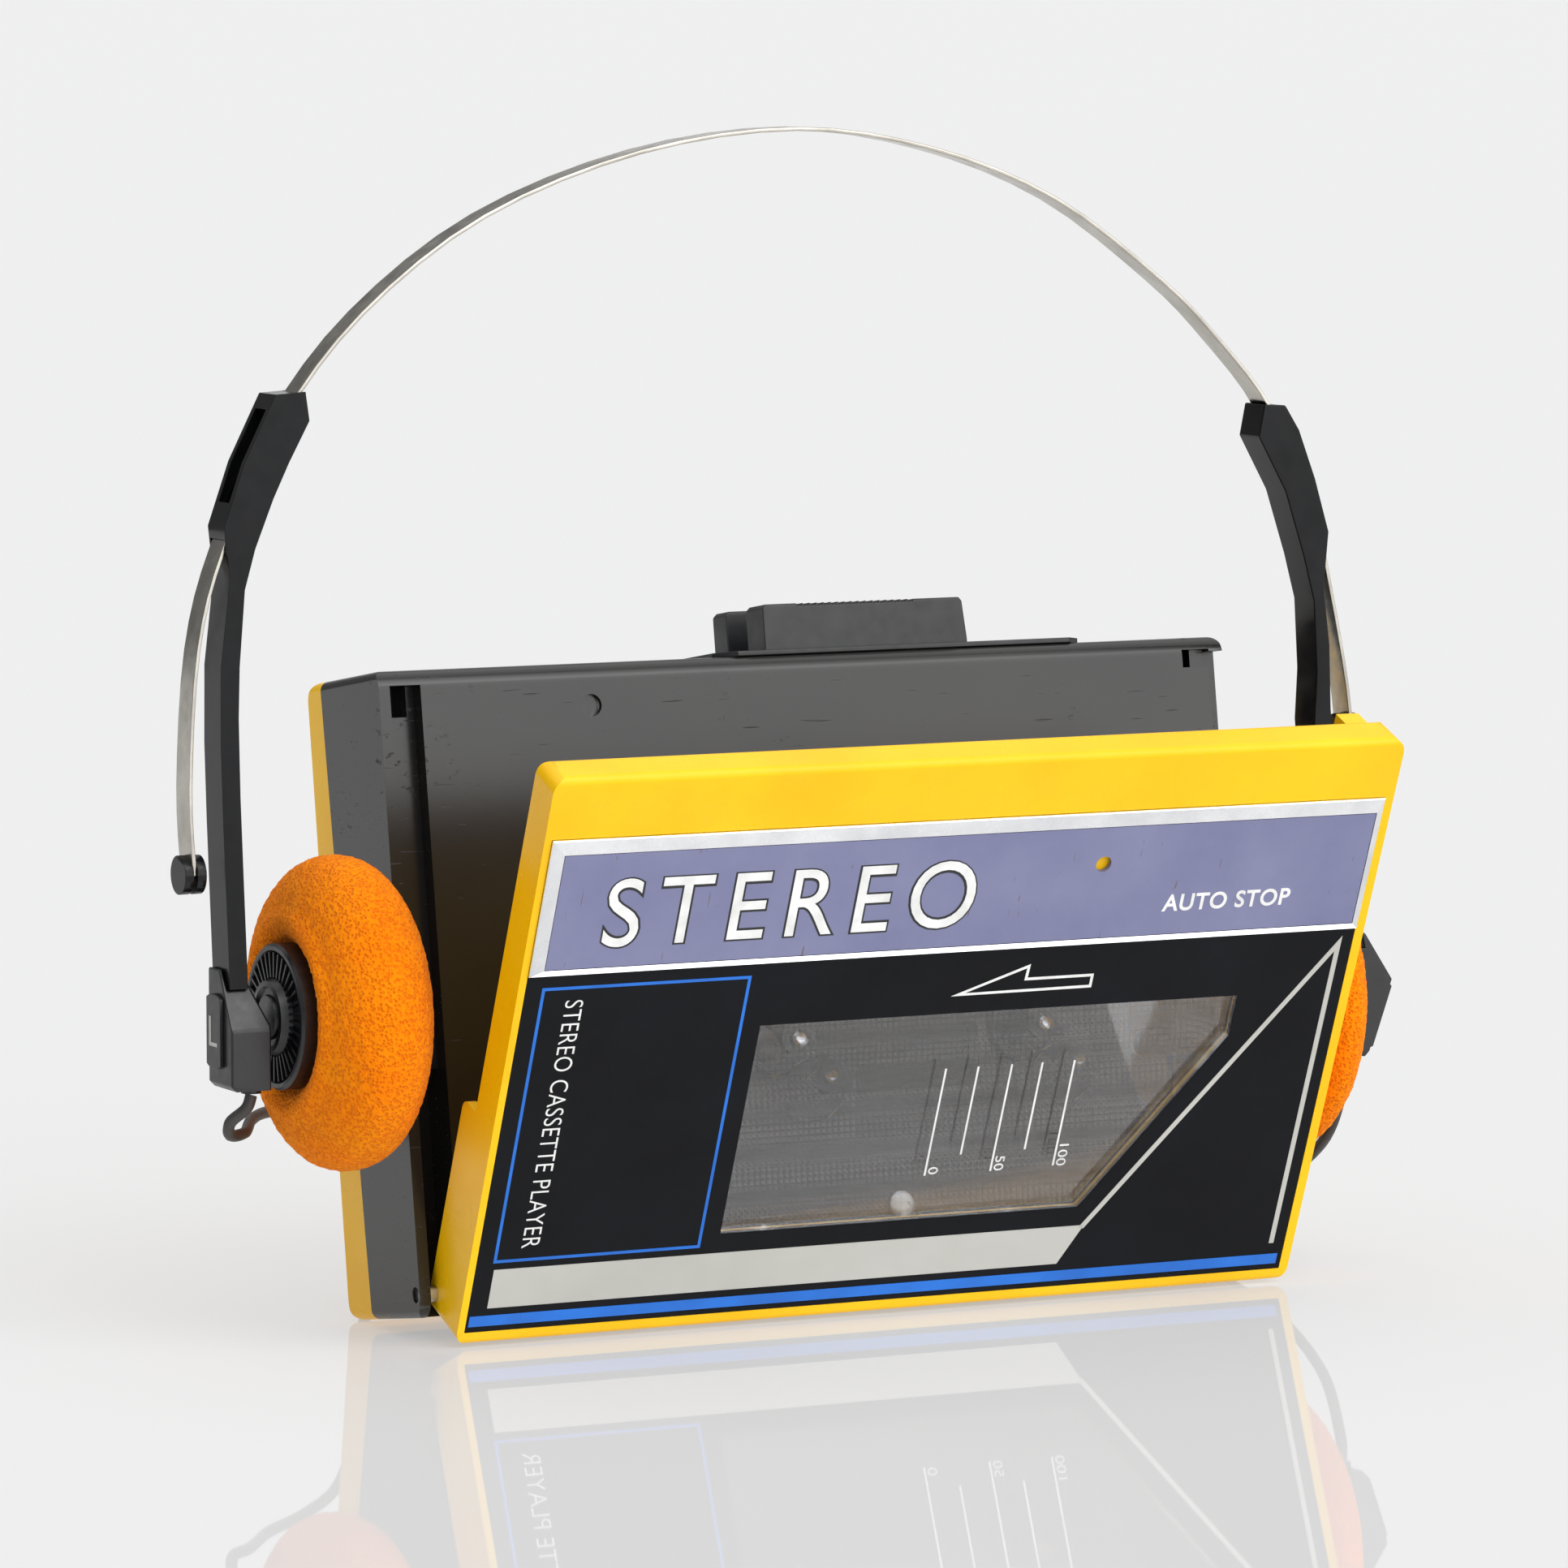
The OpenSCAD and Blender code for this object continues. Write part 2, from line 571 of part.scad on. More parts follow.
module drive_belt() {
    belt_gap = 0.12;
    shift = belt_gap - groove_r;
    color("#1b1b1c") in_case() slab_y(belt_y - belt_w / 2, belt_y + belt_w / 2) difference() {
        belt_outline(pulley_r + shift + belt_w, flywheel_r + shift + belt_w);
        belt_outline(pulley_r + shift, flywheel_r + shift);
    }
}

module flywheel() {
    color("#b3b5b8") in_case() {
        difference() {
            union() {
                grooved_wheel(capstan_x, capstan_z, flywheel_r);
            }
            for (k = [0:5]) rod_y(capstan_x + 9 * cos(60 * k), capstan_z + 9 * sin(60 * k),
                wheel_y0 - 1, wheel_y0 + wheel_t + 1, 2.4);
        }
        rod_y(capstan_x, capstan_z, front_y + 1.5, wheel_y0 + 0.1, capstan_r);
    }
}

module flywheel_bridge() {
    color("#c8cacc") in_case() difference() {
        union() {
            rod_y(capstan_x, capstan_z, deck_back_y, wheel_y0 - 0.4, 3);
            box(capstan_x - 12, capstan_x + 12, deck_back_y, deck_back_y + 1, capstan_z - 4, capstan_z + 4);
        }
        rod_y(capstan_x, capstan_z, -case_d, 0, capstan_r + run_gap);
    }
}

module idler_wheel() {
    color("#2a2a2b") in_case() {
        rod_y(idler_x, idler_z, wheel_y0 + 0.2, wheel_y0 + rim_w[0] - 0.2, idler_r);
        rod_y(idler_x, idler_z, deck_back_y + 0.3, wheel_y0 + 0.3, 0.8);
    }
}

module spindle(x) {
    in_case() {
        rod_y(x, reel_z, deck_y - 1.6, deck_y, 5.2);
        rod_y(x, reel_z, deck_y, wheel_y0, 4.2);
        rod_y(x, reel_z, wheel_y0, wheel_y0 + wheel_t, reel_disc_r);
        rod_y(x, reel_z, spindle_tip_y + 1, deck_y - 1.6, 2.5);
        rod_y(x, reel_z, spindle_tip_y, spindle_tip_y + 1, 1.3);
        for (k = [0:2]) translate([x, 0, reel_z]) rotate([0, 120 * k + 20, 0])
            box(2.3, 4.4, spindle_tip_y + 2, deck_y - 1.6, -0.6, 0.6);
    }
}

module supply_spindle() {
    color("#2b2c30") spindle(supply_x);
}

module takeup_spindle() {
    color("#2b2c30") spindle(takeup_x);
}

bridge_y = [deck_y - 1.6, deck_y - 0.4];
head_x = reel_x;
roller_r = 4;
roller_x = capstan_x;
roller_z = capstan_z + capstan_r + roller_r + key_travel + 0.2;

module head_bridge() {
    color("#c3c5c8") in_case() difference() {
        union() {
            box(bridge_x0, bridge_x1, bridge_y[0], bridge_y[1], well_head_z + 0.5, well_head_z + 6.5);
            box(head_x - 8, head_x + 8, bridge_y[0], bridge_y[1], well_head_z - 1, well_head_z + 0.6);
            rod_y(roller_x, roller_z, bridge_y[0] - 8, bridge_y[0], 1);
            box(roller_x - 3, bridge_x1, bridge_y[0], bridge_y[1], roller_z - 2, well_head_z + 1);
        }
        box(bridge_x0 + 3, bridge_x0 + 9, bridge_y[0] - 1, bridge_y[1] + 1, well_head_z + 2.4, well_head_z + 4.4);
    }
}

module tape_head() {
    color("#d8dadb") in_case() {
        box(head_x - 5.5, head_x + 5.5, bridge_y[0] - 9, bridge_y[0], well_head_z + 0.4, well_head_z + 6);
        rod_y(head_x, well_head_z + 0.5, bridge_y[0] - 8.5, bridge_y[0] - 0.5, 4.5);
    }
}

module pinch_roller() {
    color("#1a1a1a") in_case() difference() {
        rod_y(roller_x, roller_z, bridge_y[0] - 7.4, bridge_y[0] - 0.4, roller_r);
        rod_y(roller_x, roller_z, -case_d, 0, 1 + run_gap);
    }
}

// a key with a slanted right end and a ribbed top
module key(x0, x1, y0, y1, ribs) {
    in_case() difference() {
        slab_y(y0, y1) polygon([[x0, case_h - key_down], [x1, case_h - key_down], [x1, case_h + 1.4],
            [x1 - 0.5, case_h + key_up - 0.6], [x1 - 1, case_h + key_up], [x0 + 0.6, case_h + key_up],
            [x0, case_h + key_up - 0.6]]);
        for (i = [0:ribs - 1]) box(x0 + 6 + i * 1.2, x0 + 6.6 + i * 1.2, y0 - 1, y1 + 1,
            case_h + key_up - 0.4, case_h + key_up + 1);
    }
}

module play_key() {
    color("#222327") key(key_x0, key_x0 + key_len, play_y[0], play_y[1], 17);
}

module stop_key() {
    color("#222327") key(key_x0, key_x0 + key_len / 2 - 0.4, rear_key_y[0], rear_key_y[1], 5);
}

module forward_key() {
    color("#222327") key(key_x0 + key_len / 2 + 0.4, key_x0 + key_len, rear_key_y[0], rear_key_y[1], 5);
}

module volume_wheel() {
    color("#2f3035") in_case() translate([wheel_x, wheel_y, wheel_z - 1.5]) {
        difference() {
            cylinder(h = 3, r = wheel_r);
            for (k = [0:35]) rotate([0, 0, 10 * k]) translate([wheel_r + 0.25, 0, -1]) cylinder(h = 5, r = 0.45, $fn = 16);
        }
        translate([0, 0, -1.5]) cylinder(h = 1.6, r = 1.5);
    }
}

module indicator_lamp() {
    color("#8a4b35") in_case() {
        rod_y(lamp_x, well_top_z, front_y + 2, deck_back_y, lamp_r);
        translate([lamp_x, front_y + 2, well_top_z]) sphere(lamp_r);
    }
}

module phone_jack() {
    color("#1a1b1e") in_case() difference() {
        union() {
            box(cavity_x1 - 8, cavity_x1, jack_y - jack_r, jack_y + jack_r, jack_z - jack_r, jack_z + jack_r);
            rod_x(jack_y, jack_z, cavity_x1, case_w / 2, jack_r);
        }
        rod_x(jack_y, jack_z, cavity_x1 - 9, case_w, plug_pin_r + run_gap);
    }
}

module power_jack() {
    half = power_r + 0.3;
    color("#1a1b1e") in_case() difference() {
        union() {
            box(cavity_x1 - 5, cavity_x1, jack_y - half, jack_y + half, power_z - half, power_z + half);
            rod_x(jack_y, power_z, cavity_x1, case_w / 2, power_r);
        }
        rod_x(jack_y, power_z, case_w / 2 - power_bore_l, case_w, power_bore_r);
    }
}

// ---- door ----

module window_outline(grow) {
    offset(delta = grow) polygon([for (p = window_points) [label_x + p[0], label_z + p[1]]]);
}

module door_shell() {
    face_y = door_face_y;
    color("#f7c427") in_door() difference() {
        union() {
            intersection() {
                slab_y(face_y, -flange_t) round_rect(door_x0, door_z0, door_x1, door_z1, 2.5);
                slab_x(door_x0, door_x1) round_rect(face_y, door_z0, face_y + flange_d, door_z1, 1.2);
            }
            intersection() {
                slab_x(door_x0, door_x1) round_rect(face_y, door_z0, face_y + hinge_flange_d, step_z, 1.7);
                union() {
                    box(door_x0, door_x0 + flange_t, face_y, face_y + hinge_flange_d, door_z0, step_z);
                    box(door_x1 - flange_t, door_x1, face_y, face_y + hinge_flange_d, door_z0, step_z);
                    box(door_x0, door_x1, face_y, face_y + flange_d + 2, door_z0, door_z0 + flange_t);
                }
                slab_y(face_y, face_y + hinge_flange_d) round_rect(door_x0, door_z0, door_x1, door_z1, 2.5);
            }
            box(door_x1 - 7.2, door_x1 - 3.4, face_y + flange_d - 1, face_y + flange_d + 3, door_z1 - 2.2, door_z1 - 0.4);
        }
        box(door_x0 + flange_t, door_x1 - flange_t, face_y + door_t, face_y + flange_d + 3,
            door_z0 + flange_t, door_z1 - 2.2);
        box(label_x - label_w / 2 - 0.05, label_x + label_w / 2 + 0.05, face_y - 1, face_y + label_t,
            label_z - 0.05, label_z + label_h + band_h + 0.05);
        slab_y(face_y - 1, face_y + door_t + 1) window_outline(0.6);
        rod_x(0, 0, door_x0 - 1, door_x0 + flange_t + 1, pin_r + run_gap);
        rod_x(0, 0, door_x1 - flange_t - 1, door_x1 + 1, pin_r + run_gap);
    }
}

module door_label() {
    color("#23252e") in_door() difference() {
        slab_y(door_face_y, door_face_y + label_t) translate([label_x - label_w / 2, label_z]) square([label_w, label_h]);
        slab_y(door_face_y - 1, door_face_y + 3) window_outline(0.1);
    }
}

module door_band() {
    z = label_z + label_h;
    color("#8f91ab") in_door() difference() {
        slab_y(door_face_y - band_proud, door_face_y + label_t)
            translate([label_x - label_w / 2, z]) square([label_w, band_h]);
        rod_y(label_x + 22.7, z + 13.7, door_face_y - 1, door_face_y + 3, 1.3);
        slab_y(door_face_y - 1, door_face_y - band_proud + 0.25)
            round_rect(label_x - label_w / 2 + 3.6, z + 1, label_x + label_w / 2 - 1.8, z + band_h - 2.8, 0.8);
    }
}

module door_window() {
    color("#b9c2c8", 0.35) in_door() slab_y(door_face_y, door_face_y + 1.8) window_outline(0);
}

module cassette_springs() {
    y = door_face_y + door_t;
    color("#c8cacc") in_door() for (x = [label_x - 42, label_x + 56]) slab_x(x, x + 6)
        polygon([[y, 8], [y + 0.5, 8], [y + 0.5, 14], [y + 3.4, 24], [y + 0.5, 34], [y + 0.5, 40], [y, 40],
            [y, 33.6], [y + 2.9, 24], [y, 14.4]]);
}

// ---- headset ----

module headband() {
    color("#c9ccd0") in_headset()
        strip(smooth(band_line, 4), band_t, head_y - band_w / 2, head_y + band_w / 2);
}

module knob_at(p, out) {
    rod_x(head_y, p[1], p[0] + (out ? band_t / 2 : -band_t / 2 - 1.4), p[0] + (out ? band_t / 2 + 1.4 : -band_t / 2),
        stop_knob_r);
}

module stop_knobs() {
    color("#17181a") in_headset() for (p = [band_line[0], band_line[len(band_line) - 1]]) {
        knob_at(p, true);
        knob_at(p, false);
    }
}

module band_slot() {
    strip(smooth(band_line, 4), band_t + 2 * slot_gap, head_y - band_w / 2 - slot_gap, head_y + band_w / 2 + slot_gap);
}

// an arm between its outer and inner edges, open to the band's slot through one long window
module arm(outer, inner, window) {
    in_headset() difference() {
        slab_y(head_y - arm_d / 2, head_y + arm_d / 2) polygon(concat(outer, inner));
        band_slot();
        translate([window[0], head_y, window[1]]) rotate([0, window[2], 0])
            box(-window[3], 0, -2, 2, -7.4, 7.4);
    }
}

module left_arm() {
    color("#1a1b1d") arm(left_arm_outer, left_arm_inner, [-94.8, 131.4, 27, 6]);
}

module right_arm() {
    color("#1a1b1d") arm(right_arm_outer, right_arm_inner, [79.6, 125.4, 155, 9]);
}

// a cup's own frame: origin at the pad's middle, +x away from the player
module at_cup(c, tilt, mirror_x) {
    in_headset() translate([c[0], head_y, c[1]]) mirror([mirror_x ? 1 : 0, 0, 0]) rotate([0, tilt, 0]) children();
}

// the block, in its cup's frame: its lower part hangs from the arm, and a wedge leads up to it
module ear_block(x0) {
    z1 = 5.6 - block_drop;
    z0 = z1 - block[2];
    difference() {
        slab_y(-block[1] / 2 - block_proud, block[1] / 2) polygon([[x0, z0], [x0 + block[0] - 0.8, z0],
            [x0 + block[0], z0 + 0.8], [x0 + block[0], z1 + 8], [x0 + block[0] - 3.4, z1 + 8], [x0, z1]]);
        translate([x0 - 1, -block[1] / 2 - block_proud, z1 - 0.6]) rotate([62, 0, 0])
            cube([block[0] + 2, 14, 9]);
    }
}

block_gap = 1.4;
left_block_x = pad_t / 2 + driver_t + block_gap;
right_lean = 19.6;
right_badge = [95.25, 39.15];
badge_z = -1.6;

module badge(x, z) {
    intersection() {
        rod_x(0, z, x, x + 0.6, 5.6);
        box(x, x + 1, -2.6, 2.6, z - 10, z + 10);
    }
}

module left_block() {
    color("#1c1d1f") difference() {
        at_cup(left_cup, left_tilt, true) ear_block(left_block_x);
        in_headset() slab_y(head_y - arm_d / 2, head_y + arm_d / 2) polygon(concat(left_arm_outer, left_arm_inner));
    }
}

module right_block() {
    color("#1c1d1f") in_headset() slab_y(head_y - block[1] / 2, head_y + block[1] / 2) difference() {
        polygon(right_block_outline);
        polygon(concat(right_arm_outer, right_arm_inner));
    }
}

module ear_badges() {
    color("#26272a") {
        at_cup(left_cup, left_tilt, true) badge(left_block_x + block[0], badge_z);
        at_cup(right_badge, right_lean, false) badge(0, 0);
    }
}

// the driver's ribbed back plate, on a pad of half thickness h
module driver(h) {
    difference() {
        union() {
            rod_x(0, 0, h - 3, h + driver_t - 1.2, driver_r);
            rod_x(0, 0, h - 3, h + driver_t, 5);
        }
        for (k = [0:23]) rotate([15 * k, 0, 0]) box(h + driver_t - 1.8, h + driver_t + 1, -0.35, 0.35, 6, 10);
    }
}

module left_driver() {
    color("#1b1c1e") at_cup(left_cup, left_tilt, true) driver(pad_t / 2);
}

module right_driver() {
    color("#1b1c1e") at_cup(right_cup, right_tilt, false) driver((pad_t - right_squeeze) / 2);
}

// a crowned foam pad of half thickness h, with a round seat for the driver
module pad(h) {
    r = pad_d / 2;
    difference() {
        rotate([0, 90, 0]) rotate_extrude($fn = 64) polygon(concat([[0, -h], [0, h]],
            [for (a = [80:-10:-80]) [r * pow(cos(a), 0.62), h * sin(a)]]));
        rod_x(0, 0, h - 3, h + 5, driver_r);
    }
}

module left_pad() {
    color("#ee7a1c") at_cup(left_cup, left_tilt, true) pad(pad_t / 2);
}

module right_pad() {
    color("#ee7a1c") at_cup(right_cup, right_tilt, false) pad((pad_t - right_squeeze) / 2);
}

module strain_reliefs() {
    color("#202124") in_headset() for (p = [left_route[0], right_route[0]])
        translate([p[0], p[1], p[2] + 0.3]) cylinder(h = 3, r = cord_r + 0.6);
}

// ---- cords ----

module left_lead() {
    color("#33343a") in_headset() cord(left_route, cord_r);
}

module right_lead() {
    color("#33343a") in_headset() cord(right_route, cord_r);
}

module lead_joint() {
    color("#222326") in_headset() rod_x(joint_ends[0][1], joint_ends[0][2], joint_ends[1][0], joint_ends[0][0], 3);
}

module main_lead() {
    color("#33343a") in_headset() {
        cord(main_route, cord_r);
        cord(plug_route, cord_r);
    }
}

module spare_coil() {
    color("#33343a") in_headset() translate([coil_middle[0], coil_middle[1], coil_tube_r])
        rotate_extrude($fn = 48) translate([coil_r, 0]) circle(coil_tube_r, $fn = 24);
}

module phone_plug() {
    x = case_w / 2 + 0.2;
    color("#222326") in_case() {
        rod_x(jack_y, jack_z, x - 9, x + 1, plug_pin_r);
        rod_x(jack_y, jack_z, x, x + 8, 3.8);
        rod_y(x + 4.4, jack_z, jack_y, jack_y + 10.4, 2.2);
    }
}

case_shell();
rear_cover();
deck();
deck_grille();
key_plate();
case_screws();
deck_screws();
hinge_pins();
batteries();
battery_contacts();
battery_door();
circuit_board();
motor();
motor_pulley();
drive_belt();
flywheel();
flywheel_bridge();
idler_wheel();
supply_spindle();
takeup_spindle();
head_bridge();
tape_head();
pinch_roller();
play_key();
stop_key();
forward_key();
volume_wheel();
indicator_lamp();
phone_jack();
power_jack();
door_shell();
door_label();
door_band();
door_window();
cassette_springs();
headband();
stop_knobs();
left_arm();
right_arm();
left_block();
right_block();
ear_badges();
left_driver();
right_driver();
left_pad();
right_pad();
strain_reliefs();
left_lead();
right_lead();
lead_joint();
main_lead();
spare_coil();
phone_plug();
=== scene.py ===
"""The looks of a pocket tape player that leans on its opened door, with a foam headset over its ends."""
import math
import random

import bmesh
import bpy
from mathutils import Matrix, Vector, noise
from mathutils.geometry import tessellate_polygon


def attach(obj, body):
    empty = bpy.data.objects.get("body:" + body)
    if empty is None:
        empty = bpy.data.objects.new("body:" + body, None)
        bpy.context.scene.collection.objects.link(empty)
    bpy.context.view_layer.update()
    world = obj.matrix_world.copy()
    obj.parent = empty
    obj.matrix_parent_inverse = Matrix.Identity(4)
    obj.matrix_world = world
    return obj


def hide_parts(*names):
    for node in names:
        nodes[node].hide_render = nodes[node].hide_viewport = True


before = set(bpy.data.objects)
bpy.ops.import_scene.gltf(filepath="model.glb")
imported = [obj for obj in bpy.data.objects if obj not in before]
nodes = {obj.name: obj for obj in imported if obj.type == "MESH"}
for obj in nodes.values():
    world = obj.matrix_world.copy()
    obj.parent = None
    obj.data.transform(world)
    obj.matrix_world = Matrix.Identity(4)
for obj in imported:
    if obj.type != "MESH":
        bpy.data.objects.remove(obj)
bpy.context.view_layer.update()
random.seed(7)

# ---- places, in millimetres as in the CAD source ----
MM = 0.001
LEAN = math.radians(9)
SWING = math.radians(31.4)
CASE_W, CASE_H = 144.0, 96.6
CASE = Matrix.Scale(MM, 4) @ Matrix.Translation((4.5, 26.4, -0.432)) @ Matrix.Rotation(-LEAN, 4, "X")
DOOR = CASE @ Matrix.Translation((0, -25.5, 3.5)) @ Matrix.Rotation(SWING, 4, "X")
DOOR_FACE_Y = -9.25
LABEL = DOOR @ Matrix.Translation((1.6, DOOR_FACE_Y, -1.4))
HEADSET = Matrix.Scale(MM, 4) @ Matrix.Translation((4.5, 26.4, 0))
HEAD_Y = -19.0
REEL_X, REEL_Z, REEL_PITCH = 16.0, 38.0, 42.5
SPINDLE_TIP_Y = -25.0
CORD_D = 1.8
CORD_LIFT = 1.35

# ---- camera ----
AIM = Vector((-0.00655, 0.0014, 0.0807))
AZIMUTH, ELEVATION, DISTANCE = math.radians(-26.42), math.radians(5.71), 1.2747
back = Vector((math.sin(AZIMUTH) * math.cos(ELEVATION), -math.cos(AZIMUTH) * math.cos(ELEVATION),
               math.sin(ELEVATION)))
camera = bpy.data.objects.new("camera", bpy.data.cameras.new("camera"))
bpy.context.scene.collection.objects.link(camera)
camera.data.lens = 193.9
camera.data.sensor_width = 36.0
camera.data.clip_start, camera.data.clip_end = 0.05, 400.0
camera.location = AIM + back * DISTANCE
camera.rotation_euler = (-back).to_track_quat("-Z", "Y").to_euler()
bpy.context.scene.camera = camera


# ---- finishes ----
def colour(hexa):
    """A linear colour from an sRGB hex value."""
    steps = [int(hexa[i:i + 2], 16) / 255 for i in (1, 3, 5)]
    return tuple(c / 12.92 if c <= 0.04045 else ((c + 0.055) / 1.055) ** 2.4 for c in steps) + (1.0,)


def add(tree, kind, inputs=None, **settings):
    """A node with its settings, and its inputs as values or as links from other nodes' outputs."""
    made = tree.nodes.new(kind)
    for name, value in settings.items():
        setattr(made, name, value)
    for name, value in (inputs or {}).items():
        if isinstance(value, bpy.types.NodeSocket):
            tree.links.new(value, made.inputs[name])
        else:
            made.inputs[name].default_value = value
    return made


def per_mm(size):
    """A texture node's scale for a pattern of this size in millimetres."""
    return 1000.0 / size


def blank(name):
    """An empty material, its tree, its Principled shader and its object coordinates."""
    material = bpy.data.materials.new(name)
    material.use_nodes = True
    tree = material.node_tree
    shader = tree.nodes["Principled BSDF"]
    place = tree.nodes.new("ShaderNodeTexCoord").outputs["Object"]
    return material, tree, shader, place


def noise_of(tree, place, size, detail=3.0, rough=0.55, stretch=None):
    """Noise with features of a size in millimetres, drawn out along one axis where stretch is given."""
    if stretch:
        place = add(tree, "ShaderNodeMapping", {"Vector": place, "Scale": stretch}).outputs[0]
    inputs = {"Vector": place, "Scale": per_mm(size), "Detail": detail, "Roughness": rough}
    return add(tree, "ShaderNodeTexNoise", inputs).outputs["Fac"]


def between(tree, value, low, high, out_low=0.0, out_high=1.0):
    """A value's range from low to high, as a range from out_low to out_high."""
    inputs = {"Value": value, "From Min": low, "From Max": high, "To Min": out_low, "To Max": out_high}
    return add(tree, "ShaderNodeMapRange", inputs).outputs[0]


def mix(tree, share, a, b):
    """Colour a where share is 0 and b where it is 1."""
    made = add(tree, "ShaderNodeMix", data_type="RGBA")
    for socket, value in ((made.inputs[0], share), (made.inputs[6], a), (made.inputs[7], b)):
        if isinstance(value, bpy.types.NodeSocket):
            tree.links.new(value, socket)
        else:
            socket.default_value = value
    return made.outputs[2]


def surface(name, dark, light, patch, rough, grain, height, metal=0.0, ior=1.46, coat=0.0, stretch=None,
            detail=3.0, level=0.5):
    """A finish with two tones in patches, roughness between two values, and a fine grain in relief.
    patch and grain are sizes in millimetres and height is the grain's depth in millimetres."""
    material, tree, shader, place = blank(name)
    tones = between(tree, noise_of(tree, place, patch, 4.0), 0.35, 0.65)
    tree.links.new(mix(tree, tones, colour(dark), colour(light)), shader.inputs["Base Color"])
    fine = noise_of(tree, place, grain, detail, 0.6, stretch)
    wear = between(tree, noise_of(tree, place, patch * 0.3, 5.0), 0.3, 0.7, rough[0], rough[1])
    tree.links.new(wear, shader.inputs["Roughness"])
    bump = add(tree, "ShaderNodeBump", {"Height": fine, "Strength": 0.6, "Distance": height * MM})
    tree.links.new(bump.outputs[0], shader.inputs["Normal"])
    shader.inputs["Metallic"].default_value = metal
    if not metal:
        shader.inputs["IOR"].default_value = ior
    shader.inputs["Coat Weight"].default_value = coat
    shader.inputs["Specular IOR Level"].default_value = level
    return material


def scuffed_abs():
    """Moulded black ABS, handled for years: it has a gloss, with dull dark chips and hairlines in it."""
    material, tree, shader, place = blank("moulded_black_abs_scuffed")
    film = between(tree, noise_of(tree, place, 34.0, 5.0), 0.3, 0.7)
    body = mix(tree, film, colour("#121213"), colour("#1f1e1c"))
    zone = between(tree, noise_of(tree, place, 22.0, 2.0), 0.52, 0.66)
    chips = between(tree, noise_of(tree, place, 2.4, 9.0, 0.72, (1.0, 0.6, 1.9)), 0.60, 0.66)
    hair = between(tree, noise_of(tree, place, 0.7, 2.0, 0.5, (0.07, 1.0, 1.4)), 0.715, 0.76)
    marks = add(tree, "ShaderNodeMath", {0: zone, 1: chips}, operation="MULTIPLY").outputs[0]
    worn = add(tree, "ShaderNodeMath", {0: marks, 1: hair}, operation="MAXIMUM").outputs[0]
    tree.links.new(mix(tree, worn, body, colour("#171614")), shader.inputs["Base Color"])
    tree.links.new(between(tree, worn, 0.0, 1.0, 0.24, 0.6), shader.inputs["Roughness"])
    bump = add(tree, "ShaderNodeBump", {"Height": worn, "Strength": 0.5, "Distance": -0.04 * MM})
    tree.links.new(bump.outputs[0], shader.inputs["Normal"])
    shader.inputs["IOR"].default_value = 1.54
    return material


def reticulated_foam():
    """Open-cell polyurethane foam: cells half a millimetre across, with paler struts and painted shade, a
    deeper orange, in the hollows between them.
    """
    material, tree, shader, place = blank("orange_open_cell_foam")
    cells = add(tree, "ShaderNodeTexVoronoi", {"Vector": place, "Scale": per_mm(0.5), "Randomness": 1.0})
    # painted shade: this mask darkens the sunken middles of the cells to a deeper orange, while the struts
    # keep the foam's own orange; it also shapes the bump
    ring = between(tree, cells.outputs["Distance"], 0.08, 0.6)
    tone = between(tree, noise_of(tree, place, 9.0, 3.0), 0.3, 0.7)
    struts = mix(tree, tone, colour("#ff8400"), colour("#ff9204"))
    tree.links.new(mix(tree, ring, colour("#f47000"), struts), shader.inputs["Base Color"])
    shader.inputs["Roughness"].default_value = 0.92
    shader.inputs["Sheen Weight"].default_value = 0.03
    shader.inputs["Specular IOR Level"].default_value = 0.1
    shader.inputs["Sheen Roughness"].default_value = 0.5
    shader.inputs["Subsurface Weight"].default_value = 0.12
    shader.inputs["Subsurface Radius"].default_value = (0.003, 0.0012, 0.0004)
    bump = add(tree, "ShaderNodeBump", {"Height": ring, "Strength": 0.9, "Distance": 0.26 * MM})
    tree.links.new(bump.outputs[0], shader.inputs["Normal"])
    return material


def clear_acrylic():
    """Clear acrylic sheet with a faint smoke tint and fine hairlines in its gloss."""
    material, tree, shader, place = blank("clear_acrylic_sheet")
    hair = between(tree, noise_of(tree, place, 0.8, 2.0, 0.5, (0.05, 1.0, 1.2)), 0.68, 0.8, 0.03, 0.2)
    tree.links.new(hair, shader.inputs["Roughness"])
    shader.inputs["Base Color"].default_value = colour("#f2f4f6")
    shader.inputs["IOR"].default_value = 1.49
    shader.inputs["Transmission Weight"].default_value = 1.0
    shader.inputs["Alpha"].default_value = 0.45
    return material


def lacquered_board():
    """Glass-epoxy circuit board: green solder mask, with copper tracks as paler lines under it."""
    material, tree, shader, place = blank("green_lacquered_board")
    bricks = {"Vector": place, "Scale": per_mm(9.0), "Mortar Size": 0.05, "Color1": colour("#2c5a2c"),
              "Color2": colour("#27502a"), "Mortar": colour("#4f8a47")}
    tree.links.new(add(tree, "ShaderNodeTexBrick", bricks).outputs["Color"], shader.inputs["Base Color"])
    tree.links.new(between(tree, noise_of(tree, place, 6.0), 0.3, 0.7, 0.25, 0.45),
                   shader.inputs["Roughness"])
    return material


